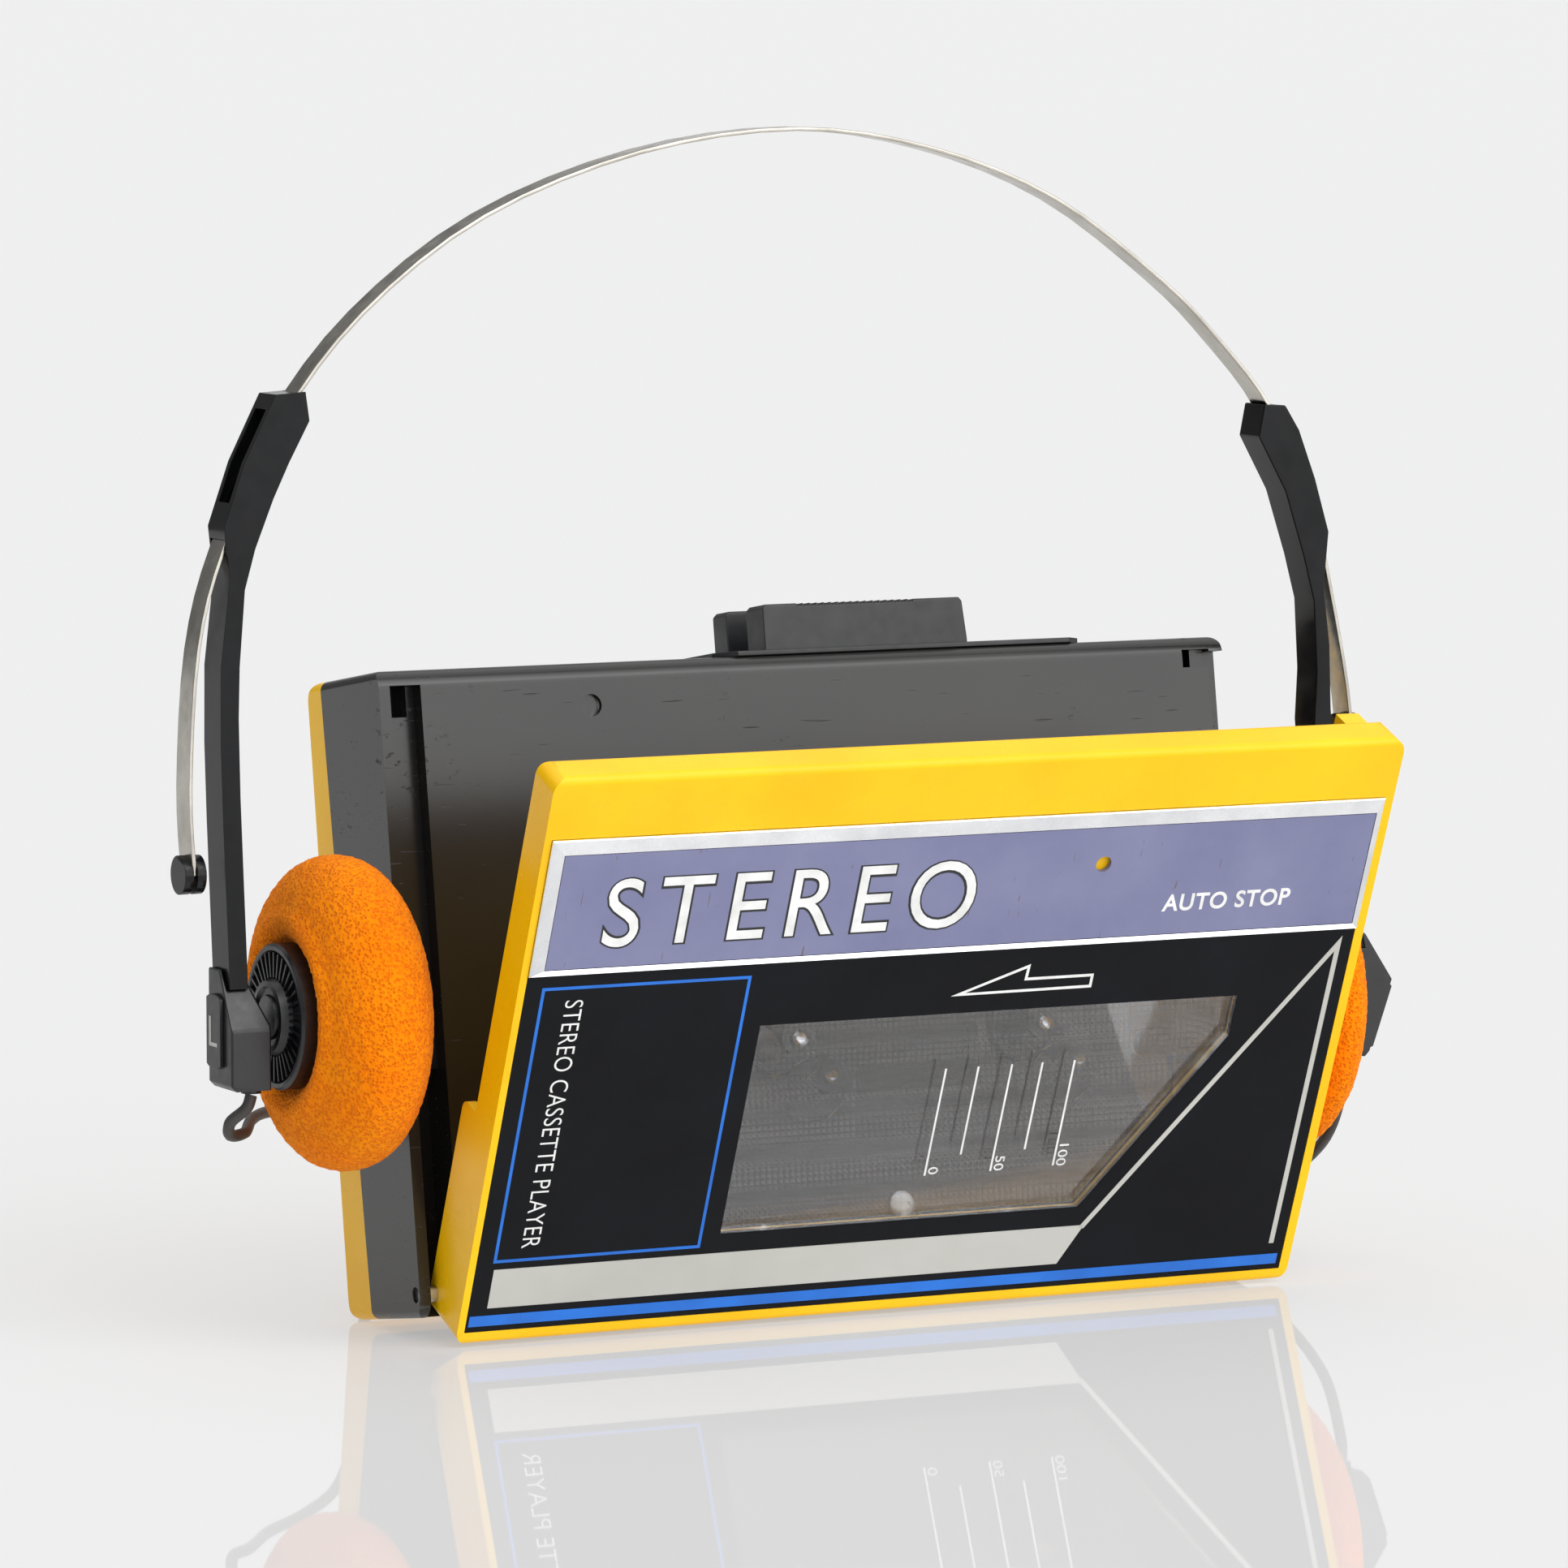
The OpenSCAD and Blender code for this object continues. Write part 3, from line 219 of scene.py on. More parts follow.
def enamelled_band():
    """Anodised aluminium with lavender-grey enamel, chipped to the brown primer along its edges."""
    material, tree, shader, place = blank("lavender_enamel_on_aluminium")
    tone = between(tree, noise_of(tree, place, 16.0, 4.0), 0.3, 0.7)
    enamel = mix(tree, tone, colour("#74769a"), colour("#8284a6"))
    chips = between(tree, noise_of(tree, place, 1.6, 8.0, 0.7), 0.71, 0.74)
    scratch = between(tree, noise_of(tree, place, 0.9, 2.0, 0.5, (1.4, 0.5, 0.06)), 0.72, 0.76, 0.0, 0.8)
    worn = add(tree, "ShaderNodeMath", {0: chips, 1: scratch}, operation="MAXIMUM").outputs[0]
    tree.links.new(mix(tree, worn, enamel, colour("#6b5750")), shader.inputs["Base Color"])
    shader.inputs["Metallic"].default_value = 0.25
    tree.links.new(between(tree, tone, 0.0, 1.0, 0.32, 0.42), shader.inputs["Roughness"])
    return material


def textured_deck():
    """Moulded ABS floor of the tape well, with a square grain standing proud 1 mm apart in relief, seen
    through the window. Its colour holds painted light: the squares' tops are painted pale grey, and painted
    shade darkens the grooves between them.
    """
    material, tree, shader, place = blank("moulded_abs_grain_painted_shade")
    turned = {"Vector": place, "Rotation": (LEAN, 0.0, 0.0), "Scale": (1.0, 0.0, 1.0)}
    flat = add(tree, "ShaderNodeMapping", turned).outputs[0]
    cells = add(tree, "ShaderNodeTexVoronoi", {"Vector": flat, "Scale": per_mm(1.0), "Randomness": 0.0},
                distance="CHEBYCHEV")
    grain_and_painted_shade = between(tree, cells.outputs["Distance"], 0.22, 0.46)
    # painted light and shade: pale grey is painted on the squares' tops and near black in the grooves between
    # them; the same mask also shapes the bump
    tree.links.new(mix(tree, grain_and_painted_shade, colour("#6a6a6c"), colour("#2b2b2d")), shader.inputs["Base Color"])
    tree.links.new(between(tree, noise_of(tree, place, 12.0), 0.3, 0.7, 0.34, 0.5),
                   shader.inputs["Roughness"])
    bump = add(tree, "ShaderNodeBump", {"Height": grain_and_painted_shade, "Strength": 0.8, "Distance": -0.2 * MM})
    tree.links.new(bump.outputs[0], shader.inputs["Normal"])
    return material


BLACK_ABS = scuffed_abs()
YELLOW_ABS = surface("moulded_yellow_abs", "#fbc000", "#ffcb0a", 26.0, (0.24, 0.34), 0.5, 0.006, ior=1.54,
                     level=0.25)
DECK_ABS = textured_deck()
KEY_ABS = surface("satin_black_abs", "#18191b", "#212225", 9.0, (0.34, 0.46), 0.22, 0.015, ior=1.54,
                  level=0.45)
ARM_NYLON = surface("gloss_black_nylon", "#08090b", "#0e0f12", 11.0, (0.14, 0.26), 0.4, 0.006, ior=1.53,
                    level=0.22)
BLOCK_ABS = surface("satin_charcoal_abs", "#0e0f12", "#17181b", 6.0, (0.26, 0.38), 0.16, 0.012, ior=1.54)
ZINC_STEEL = surface("zinc_plated_steel", "#b5b6b8", "#cfd0d1", 4.0, (0.26, 0.4), 0.3, 0.004, metal=1.0)
SPRING_STEEL = surface("rolled_spring_steel", "#a8a49b", "#c4c0b7", 8.0, (0.16, 0.3), 0.22, 0.005,
                       metal=1.0, stretch=(0.05, 1.0, 0.05))
POLISHED_STEEL = surface("polished_steel", "#d2d3d5", "#e8e8ea", 5.0, (0.08, 0.16), 0.2, 0.002, metal=1.0)
TURNED_BRASS = surface("turned_brass", "#b8924a", "#d1ab5f", 3.0, (0.2, 0.32), 0.2, 0.004, metal=1.0)
BRIGHT_ALUMINIUM = surface("bright_anodised_aluminium", "#e2e3e6", "#f3f4f6", 10.0, (0.2, 0.32), 0.2,
                           0.003, metal=1.0)
ENAMEL = enamelled_band()
MOULDED_RUBBER = surface("moulded_black_rubber", "#161616", "#222222", 3.0, (0.6, 0.75), 0.15, 0.02, ior=1.52)
CELL_FILM = surface("shrink_film_on_steel", "#2c3038", "#3b404a", 14.0, (0.22, 0.34), 0.8, 0.01, ior=1.5,
                    coat=0.3)
BOARD = lacquered_board()
LAMP_LENS = surface("amber_tinted_polystyrene", "#7d3f1c", "#a2602c", 1.5, (0.1, 0.2), 0.2, 0.003, ior=1.59)
JACK_NYLON = surface("moulded_black_nylon", "#131314", "#1d1d1f", 3.0, (0.3, 0.42), 0.2, 0.01, ior=1.53)
LABEL_FILM = surface("printed_black_polyester_film", "#07080c", "#0c0e14", 15.0, (0.3, 0.4), 0.14, 0.006,
                     ior=1.57, level=0.1)
ACRYLIC = clear_acrylic()
FOAM = reticulated_foam()
SOFT_PVC = surface("soft_dark_grey_pvc", "#333130", "#474442", 8.0, (0.4, 0.55), 0.2, 0.01, ior=1.53)
BLUE_INK = surface("blue_screen_ink", "#0a63c4", "#1172da", 10.0, (0.35, 0.45), 0.2, 0.003, ior=1.5)
SILVER_INK = surface("silver_screen_ink", "#bcbbb4", "#c6c5bf", 30.0, (0.36, 0.44), 0.25, 0.004, metal=0.4)
WHITE_INK = surface("white_screen_ink", "#dfdfdd", "#f4f4f3", 4.0, (0.4, 0.5), 0.2, 0.003, ior=1.5)
BLACK_INK = surface("black_screen_ink", "#0c0d10", "#14151a", 4.0, (0.3, 0.42), 0.2, 0.002, ior=1.5)

FINISHES = {
    BLACK_ABS: ["case_shell"],
    YELLOW_ABS: ["rear_cover", "battery_door", "door_shell"],
    DECK_ABS: ["deck"],
    KEY_ABS: ["play_key", "stop_key", "forward_key", "volume_wheel", "key_plate", "deck_grille",
              "supply_spindle", "takeup_spindle"],
    ARM_NYLON: ["left_arm", "right_arm", "stop_knobs"],
    BLOCK_ABS: ["left_block", "right_block", "ear_badges", "left_driver", "right_driver"],
    ZINC_STEEL: ["case_screws", "deck_screws", "hinge_pins", "battery_contacts", "motor", "flywheel",
                 "flywheel_bridge", "head_bridge"],
    SPRING_STEEL: ["headband"],
    POLISHED_STEEL: ["tape_head", "cassette_springs"],
    TURNED_BRASS: ["motor_pulley"],
    BRIGHT_ALUMINIUM: ["door_band"],
    MOULDED_RUBBER: ["drive_belt", "idler_wheel", "pinch_roller"],
    CELL_FILM: ["batteries"],
    BOARD: ["circuit_board"],
    LAMP_LENS: ["indicator_lamp"],
    JACK_NYLON: ["phone_jack", "power_jack", "strain_reliefs", "lead_joint", "phone_plug"],
    LABEL_FILM: ["door_label"],
    ACRYLIC: ["door_window"],
    FOAM: ["left_pad", "right_pad"],
    SOFT_PVC: ["left_lead", "right_lead", "main_lead", "spare_coil"],
}
# the width of each node's rounded edges, in millimetres
EDGE = {"case_shell": 0.35, "rear_cover": 0.4, "door_shell": 0.45, "battery_door": 0.2, "door_window": 0.02,
        "play_key": 0.3, "stop_key": 0.25, "forward_key": 0.25, "key_plate": 0.15, "volume_wheel": 0.12,
        "left_arm": 0.35, "right_arm": 0.35, "left_block": 0.4, "right_block": 0.4, "ear_badges": 0.15,
        "left_driver": 0.12, "right_driver": 0.12, "headband": 0.12, "stop_knobs": 0.3,
        "deck": 0.15, "tape_head": 0.3, "head_bridge": 0.15, "supply_spindle": 0.15, "takeup_spindle": 0.15,
        "lead_joint": 0.5, "phone_plug": 0.5, "strain_reliefs": 0.2, "batteries": 0.3, "motor": 0.4}
OTHER_EDGE = 0.06
for finish, names in FINISHES.items():
    for name in names:
        nodes[name].data.materials.clear()
        nodes[name].data.materials.append(finish)


# ---- making pieces ----
def piece(name, vertices, faces, place, finish, body, smooth=False):
    """A closed mesh with its place in its points, riding on a body."""
    mesh = bpy.data.meshes.new(name)
    mesh.from_pydata([place @ Vector(v) for v in vertices], [], faces)
    work = bmesh.new()
    work.from_mesh(mesh)
    bmesh.ops.remove_doubles(work, verts=work.verts, dist=1e-7)
    bmesh.ops.recalc_face_normals(work, faces=work.faces)
    work.to_mesh(mesh)
    work.free()
    mesh.materials.append(finish)
    if smooth:
        mesh.shade_smooth()
        mesh.set_sharp_from_angle(angle=math.radians(35))
    made = bpy.data.objects.new(name, mesh)
    bpy.context.scene.collection.objects.link(made)
    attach(made, body)
    return made


class Sheet:
    """Gathers flat shapes, each an outline with holes, as thin closed plates on one surface."""

    def __init__(self):
        self.vertices, self.faces = [], []

    def plate(self, loops, low, high):
        """An outline and its holes as (u, v) points, solid from low to high above the surface."""
        first = len(self.vertices)
        flat = [p for loop in loops for p in loop]
        count = len(flat)
        self.vertices += [(u, -low, v) for u, v in flat] + [(u, -high, v) for u, v in flat]
        for a, b, c in tessellate_polygon([[Vector((u, v, 0)) for u, v in loop] for loop in loops]):
            self.faces += [(first + a, first + b, first + c),
                           (first + count + c, first + count + b, first + count + a)]
        start = first
        for loop in loops:
            for i in range(len(loop)):
                j = (i + 1) % len(loop)
                self.faces.append((start + i, start + j, start + count + j, start + count + i))
            start += len(loop)

    def stroke(self, points, width, low, high, closed=False):
        """A line of one width along (u, v) points, with mitred corners."""
        sides = ([], [])
        count = len(points)
        for i, p in enumerate(points):
            before = points[i - 1] if closed or i else None
            after = points[(i + 1) % count] if closed or i < count - 1 else None
            ways = [Vector(b) - Vector(a) for a, b in ((before, p), (p, after)) if a and b]
            normals = [Vector((-w.y, w.x)).normalized() for w in ways]
            middle = sum(normals, Vector((0, 0))).normalized()
            reach = width / 2 / max(0.2, middle.dot(normals[0]))
            sides[0].append((p[0] + middle.x * reach, p[1] + middle.y * reach))
            sides[1].append((p[0] - middle.x * reach, p[1] - middle.y * reach))
        self.plate([sides[0], sides[1]] if closed else [sides[0] + sides[1][::-1]], low, high)

    def made(self, name, place, finish, body, slot):
        return piece(name, self.vertices, self.faces, place, finish, body)


def ring(u, v, radius, count=24):
    """A circle as (u, v) points."""
    return [(u + radius * math.cos(math.tau * i / count),
             v + radius * math.sin(math.tau * i / count)) for i in range(count)]


def words(name, text, box, place, finish, body, slot, low=0.0, high=0.05, turned=False, spacing=1.0,
          weight=0.0, slant=0.0):
    """Lettering fitted to a box (u0, v0, u1, v1) on a surface. Turned lettering reads downwards."""
    font = bpy.data.curves.new(name, "FONT")
    font.body, font.space_character, font.offset, font.shear = text, spacing, weight, slant
    font.extrude, font.resolution_u = 0.5, 6
    shown = bpy.data.objects.new(name, font)
    bpy.context.scene.collection.objects.link(shown)
    bpy.context.view_layer.update()
    mesh = bpy.data.meshes.new_from_object(shown.evaluated_get(bpy.context.evaluated_depsgraph_get()))
    bpy.data.objects.remove(shown)
    points = [Vector(v.co) for v in mesh.vertices]
    lows = [min(p[k] for p in points) for k in range(3)]
    spans = [max(p[k] for p in points) - lows[k] for k in range(3)]
    u0, v0, u1, v1 = box
    out = []
    for p in points:
        s, t, w = ((p[k] - lows[k]) / spans[k] for k in range(3))
        depth = -(low + (high - low) * w)
        across, up = (t, 1 - s) if turned else (s, t)
        out.append((u0 + across * (u1 - u0), depth, v0 + up * (v1 - v0)))
    faces = [tuple(f.vertices) for f in mesh.polygons]
    return piece(name, out, faces, place, finish, body)


def lathe(profile, place, name, finish, body, count=64):
    """A turned piece about its own x axis, from (x, radius) points. Points of no radius close it."""
    vertices, faces, rings = [], [], []
    for x, r in profile:
        turn = [(x, 0.0, 0.0)] if r < 1e-6 else [
            (x, r * math.cos(math.tau * i / count), r * math.sin(math.tau * i / count)) for i in range(count)]
        rings.append(list(range(len(vertices), len(vertices) + len(turn))))
        vertices += turn
    for a, b in zip(rings, rings[1:]):
        for i in range(count):
            j = (i + 1) % count
            if len(a) == 1 and len(b) > 1:
                faces.append((a[0], b[i], b[j]))
            elif len(b) == 1 and len(a) > 1:
                faces.append((a[i], b[0], a[j]))
            elif len(a) > 1:
                faces.append((a[i], b[i], b[j], a[j]))
    return piece(name, vertices, faces, place, finish, body, smooth=True)


def curve_through(points, steps):
    """A smooth line through given points."""
    out = []
    last = len(points) - 1
    for i in range(last):
        a, b, c, d = (Vector(points[k]) for k in (max(i - 1, 0), i, i + 1, min(i + 2, last)))
        for k in range(steps):
            t = k / steps
            bend = (2 * a - 5 * b + 4 * c - d) * t * t + (3 * b - a - 3 * c + d) * t ** 3
            out.append(0.5 * (2 * b + (c - a) * t + bend))
    return out + [Vector(points[-1])]


def lead(name, points, stands_for):
    """A round vinyl cord along points in the headset's frame."""
    line = [HEADSET @ p for p in points]
    data = bpy.data.curves.new(name, "CURVE")
    data.dimensions = "3D"
    data.bevel_depth = CORD_D / 2 * MM
    data.bevel_resolution = 3
    data.use_fill_caps = True
    spline = data.splines.new("POLY")
    spline.points.add(len(line) - 1)
    for knot, p in zip(spline.points, line):
        knot.co = (*p, 1.0)
    data.materials.append(SOFT_PVC)
    made = bpy.data.objects.new(name, data)
    bpy.context.scene.collection.objects.link(made)
    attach(made, "player")
    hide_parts(*stands_for)
    return made


# ---- cords ----
LEFT_ROUTE = [(-95.9, -19, 37.8), (-96.6, -18.8, 35.8), (-98.4, -17, 33.6), (-97.6, -15, 31.4),
              (-94, -12, 31.2), (-90, -5, 32), (-84, 3, 31.8), (-76, 9, 31), (-69, 12, 27.6), (-65.2, 13,
                                                                                               19), (-64,
                                                                                                     14, 9),
              (-62.4, 16, 2.6), (-55, 20, 1.2), (-38, 23, 1.2), (-16, 23, 1.2), (6, 24, 1.2), (22, 25, 1.2),
              (29, 28, 1.4), (29, 33, 2.2), (24, 35.4, 3), (18, 35.6, 3)]
RIGHT_ROUTE = [(90.4, -19, 31.4), (90.4, -18.4, 27), (90.6, -12, 18), (88, 0, 10), (80, 12, 4), (68, 24, 1.4),
               (50, 32, 1.6), (34, 37.4, 3), (18, 38.4, 3)]
MAIN_ROUTE = [(8, 37, 3), (0, 36.4, 1.6), (-8, 34.2, 1.4)]
PLUG_ROUTE = [(-4, 58.2, 5.2), (10, 57.4, 1.6), (30, 53, 1.2), (50, 45, 1.6), (66, 34, 5), (75, 22, 9),
              (76.6, 10, 10.4), (76.6, 0.4, 11.6)]
COIL_MIDDLE = (-16.0, 47.8)
COIL_R = 10.8
TURN_PITCH = 1.85
ROWS = [(2.0, 1.0, 0.0, -1.0, -2.0), (-1.5, -0.5, 0.5, 1.5), (1.0, 0.0, -1.0), (-0.5, 0.5)]
POINTS_PER_TURN = 32
SHIFT_SHARE = 0.25


def coil_points():
    """Turns laid in rows side by side, from the entry on the near side to the exit on the far side."""
    seats = [(COIL_R + off * TURN_PITCH, CORD_LIFT + row * TURN_PITCH)
             for row, offs in enumerate(ROWS) for off in offs]
    out = []
    total = (len(seats) - 0.5) * POINTS_PER_TURN
    for k in range(int(total) + 1):
        turn, part = divmod(k / POINTS_PER_TURN, 1.0)
        now = seats[int(turn)]
        later = seats[min(int(turn) + 1, len(seats) - 1)]
        t = max(0.0, (part - (1 - SHIFT_SHARE)) / SHIFT_SHARE)
        t = t * t * (3 - 2 * t)
        r, z = (now[i] + (later[i] - now[i]) * t for i in (0, 1))
        angle = -math.pi / 2 - math.tau * k / POINTS_PER_TURN
        out.append(Vector((COIL_MIDDLE[0] + r * math.cos(angle), COIL_MIDDLE[1] + r * math.sin(angle), z)))
    return out


coiled = coil_points()
main_line = (curve_through(MAIN_ROUTE + [tuple(coiled[0])], 6)[:-1] + coiled
             + curve_through([tuple(coiled[-1])] + PLUG_ROUTE, 8)[1:])
lead("left_ear_cord", curve_through(LEFT_ROUTE, 8), ["left_lead"])
lead("right_ear_cord", curve_through(RIGHT_ROUTE, 8), ["right_lead"])
lead("player_cord", main_line, ["main_lead", "spare_coil"])

# a flat tie of soft vinyl round the coil's turns
TIE_W, TIE_HALF_W, TIE_HALF_H, TIE_T = 3.0, 5.1, 3.75, 0.4
tie_points, tie_faces, TIE_STEPS = [], [], 40
for i in range(TIE_STEPS):
    a = math.tau * i / TIE_STEPS
    c, s = math.cos(a), math.sin(a)
    bend = (abs(c) ** 3 + abs(s) ** 3) ** (-1 / 3)
    for out, across in ((0.0, -1), (TIE_T, -1), (TIE_T, 1), (0.0, 1)):
        reach_r, reach_z = (TIE_HALF_W - TIE_T + out) * c * bend, (TIE_HALF_H - TIE_T + out) * s * bend
        tie_points.append((COIL_MIDDLE[0] - COIL_R + reach_r, COIL_MIDDLE[1] + across * TIE_W / 2,
                           4.05 + reach_z))
    for k in range(4):
        m, n = 4 * i, 4 * ((i + 1) % TIE_STEPS)
        tie_faces.append((m + k, m + (k + 1) % 4, n + (k + 1) % 4, n + k))
piece("coil_tie", tie_points, tie_faces, HEADSET, MOULDED_RUBBER, "player", smooth=True)

# ---- the door's printed label ----
INK = (-0.02, 0.045)
LINE_W, RULE_W, SCALE_W = 0.5, 0.85, 0.32
blue = Sheet()
blue.stroke([(-66.4, 57.9), (-33.0, 57.9), (-33.0, 12.0), (-66.4, 12.0)], LINE_W, *INK, closed=True)
blue.plate([[(-68.9, 0.95), (68.5, 0.95), (68.5, 2.75), (-68.9, 2.75)]], *INK)
blue.made("label_blue_lines", LABEL, BLUE_INK, "door", "label_film")
silver = Sheet()
silver.plate([[(-66.3, 4.0), (29.3, 4.0), (32.7, 10.6), (-66.3, 10.6)]], *INK)
silver.stroke([(32.3, 10.2), (66.9, 57.6), (66.9, 4.7)], RULE_W, *INK)
silver.made("label_silver_rules", LABEL, SILVER_INK, "door", "label_film")
SCALE_LINES = [(3.1, 21.5), (8.6, 24.8), (14.3, 21.5), (19.5, 24.9), (25.0, 21.7)]
WINDOW_PROUD = (-0.02, 0.04)
white = Sheet()
for u, bottom in SCALE_LINES:
    white.stroke([(u, 40.0), (u, bottom)], SCALE_W, *WINDOW_PROUD)
white.stroke([(2.5, 52.7), (13.7, 56.9), (13.6, 54.7), (24.9, 54.7), (24.9, 52.8)], 0.45, *INK, closed=True)
white.made("label_white_marks", LABEL, WHITE_INK, "door", "label_film")
for text, u, v in (("0", 3.6, 22.9), ("50", 14.8, 24.0), ("100", 25.5, 25.3)):
    words(f"scale_{text}", text, (u, v - 1.25 * len(text), u + 1.6, v), LABEL, WHITE_INK, "door",
          "label_film", *WINDOW_PROUD, turned=True)
words("label_side_words", "STEREO CASSETTE PLAYER", (-62.5, 14.0, -59.6, 55.8), LABEL, WHITE_INK, "door",
      "label_film", *INK, turned=True, spacing=1.05, weight=-0.008)

# ---- the metal band: a bright bevelled frame round an enamelled field ----
BAND = (-69.3, 60.2, 69.3, 82.6)
FIELD = (-66.9, 61.0, 68.5, 80.0)
BAND_PROUD, FIELD_SINK, FRAME_BACK = 0.5, 0.12, 0.78
HOLE = (22.8, 73.7, 1.3)


def corners(box, grow=0.0):
    """A box's corners, with the box grown on every side."""
    u0, v0, u1, v1 = box[0] - grow, box[1] - grow, box[2] + grow, box[3] + grow
    return [(u0, v0), (u1, v0), (u1, v1), (u0, v1)]


frame_points, frame_faces = [], []
LEVELS = [(corners(BAND), FRAME_BACK), (corners(BAND, 0.0), -BAND_PROUD + 0.15),
          (corners(BAND, -0.15), -BAND_PROUD), (corners(FIELD, 0.0), -FIELD_SINK),
          (corners(FIELD, -0.1), FRAME_BACK)]
for loop, depth in LEVELS:
    frame_points += [(u, depth, v) for u, v in loop]
for level in range(len(LEVELS)):
    m, n = 4 * level, 4 * ((level + 1) % len(LEVELS))
    for k in range(4):
        frame_faces.append((m + k, m + (k + 1) % 4, n + (k + 1) % 4, n + k))
band_frame = piece("band_frame", frame_points, frame_faces, LABEL, BRIGHT_ALUMINIUM, "door")
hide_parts("door_band")
field = Sheet()
field.plate([corners(FIELD, -0.12), ring(*HOLE)], -0.7, FIELD_SINK - 0.02)
field.made("band_enamel", LABEL, ENAMEL, "door", "band_metal")
BAND_INK = (FIELD_SINK - 0.04, FIELD_SINK + 0.05)
words("band_title_edge", "STEREO", (-58.85, 64.1, 2.15, 75.9), LABEL, BLACK_INK, "door", "band_metal",
      BAND_INK[0], BAND_INK[1] - 0.03, spacing=1.3, weight=0.022)
words("band_title", "STEREO", (-58.6, 64.4, 1.9, 75.7), LABEL, WHITE_INK, "door", "band_metal", *BAND_INK,
      spacing=1.3)
words("band_words", "AUTO STOP", (34.4, 65.0, 56.3, 67.9), LABEL, WHITE_INK, "door", "band_metal",
      *BAND_INK, weight=0.02, spacing=1.08)


BLOCK_SOCKETS = [("Length", "NodeSocketFloat"), ("Width", "NodeSocketFloat"),
                 ("Height", "NodeSocketFloat"), ("Finish", "NodeSocketMaterial")]


def set_socket(modifier, tree, name, value):
    """Sets a modifier's input by its socket's identifier."""
    for item in tree.interface.items_tree:
        if item.item_type == "SOCKET" and item.in_out == "INPUT" and item.name == name:
            modifier[item.identifier] = value


def ring_tree():
    """Blocks in a ring about the local z axis, each pointing outwards."""
    tree = bpy.data.node_groups.new("ring_of_blocks", "GeometryNodeTree")
    tree.interface.new_socket("Geometry", in_out="OUTPUT", socket_type="NodeSocketGeometry")
    for name, kind in [("Count", "NodeSocketInt"), ("Radius", "NodeSocketFloat")] + BLOCK_SOCKETS:
        tree.interface.new_socket(name, in_out="INPUT", socket_type=kind)
    given = add(tree, "NodeGroupInput").outputs
    circle = add(tree, "GeometryNodeCurvePrimitiveCircle",
                 {"Resolution": given["Count"], "Radius": given["Radius"]}, mode="RADIUS")
    points = add(tree, "GeometryNodeCurveToPoints", {"Curve": circle.outputs[0], "Count": given["Count"]},
                 mode="COUNT")
    size = add(tree, "ShaderNodeCombineXYZ", {"X": given["Length"], "Y": given["Width"],
                                              "Z": given["Height"]})
    block = add(tree, "GeometryNodeMeshCube", {"Size": size.outputs[0]})
    place = add(tree, "GeometryNodeInputPosition")
    turn = add(tree, "FunctionNodeAlignRotationToVector", {"Vector": place.outputs[0]}, axis="X",
               pivot_axis="Z")
    blocks = {"Points": points.outputs[0], "Instance": block.outputs[0], "Rotation": turn.outputs[0]}
    many = add(tree, "GeometryNodeInstanceOnPoints", blocks)
    real = add(tree, "GeometryNodeRealizeInstances", {"Geometry": many.outputs[0]})
    done = add(tree, "GeometryNodeSetMaterial", {"Geometry": real.outputs[0], "Material": given["Finish"]})
    add(tree, "NodeGroupOutput", {"Geometry": done.outputs[0]})
    return tree


def row_tree():
    """Blocks in a straight row along the local x axis, centred."""
    tree = bpy.data.node_groups.new("row_of_blocks", "GeometryNodeTree")
    tree.interface.new_socket("Geometry", in_out="OUTPUT", socket_type="NodeSocketGeometry")
    for name, kind in [("Count", "NodeSocketInt"), ("Pitch", "NodeSocketFloat")] + BLOCK_SOCKETS:
        tree.interface.new_socket(name, in_out="INPUT", socket_type=kind)
    given = add(tree, "NodeGroupInput").outputs
    step = add(tree, "ShaderNodeCombineXYZ", {"X": given["Pitch"]})
    line = add(tree, "GeometryNodeMeshLine", {"Count": given["Count"], "Offset": step.outputs[0]},
               mode="OFFSET")
    size = add(tree, "ShaderNodeCombineXYZ", {"X": given["Length"], "Y": given["Width"],
                                              "Z": given["Height"]})
    block = add(tree, "GeometryNodeMeshCube", {"Size": size.outputs[0]})
    blocks = {"Points": line.outputs[0], "Instance": block.outputs[0]}
    many = add(tree, "GeometryNodeInstanceOnPoints", blocks)
    real = add(tree, "GeometryNodeRealizeInstances", {"Geometry": many.outputs[0]})
    done = add(tree, "GeometryNodeSetMaterial", {"Geometry": real.outputs[0], "Material": given["Finish"]})
    add(tree, "NodeGroupOutput", {"Geometry": done.outputs[0]})
    return tree


def repeated(name, tree, sizes, place, finish, body):
    """What a tree of repeats makes, as a plain mesh in its place."""
    holder = bpy.data.objects.new(name, bpy.data.meshes.new(name))
    bpy.context.scene.collection.objects.link(holder)
    modifier = holder.modifiers.new("repeats", "NODES")
    modifier.node_group = tree
    for key, value in {**sizes, "Finish": finish}.items():
        set_socket(modifier, tree, key, value)
    bpy.context.view_layer.update()
    mesh = bpy.data.meshes.new_from_object(holder.evaluated_get(bpy.context.evaluated_depsgraph_get()))
    bpy.data.objects.remove(holder)
    vertices = [tuple(v.co) for v in mesh.vertices]
    faces = [tuple(f.vertices) for f in mesh.polygons]
    return piece(name, vertices, faces, place, finish, body)


RING, ROW = ring_tree(), row_tree()

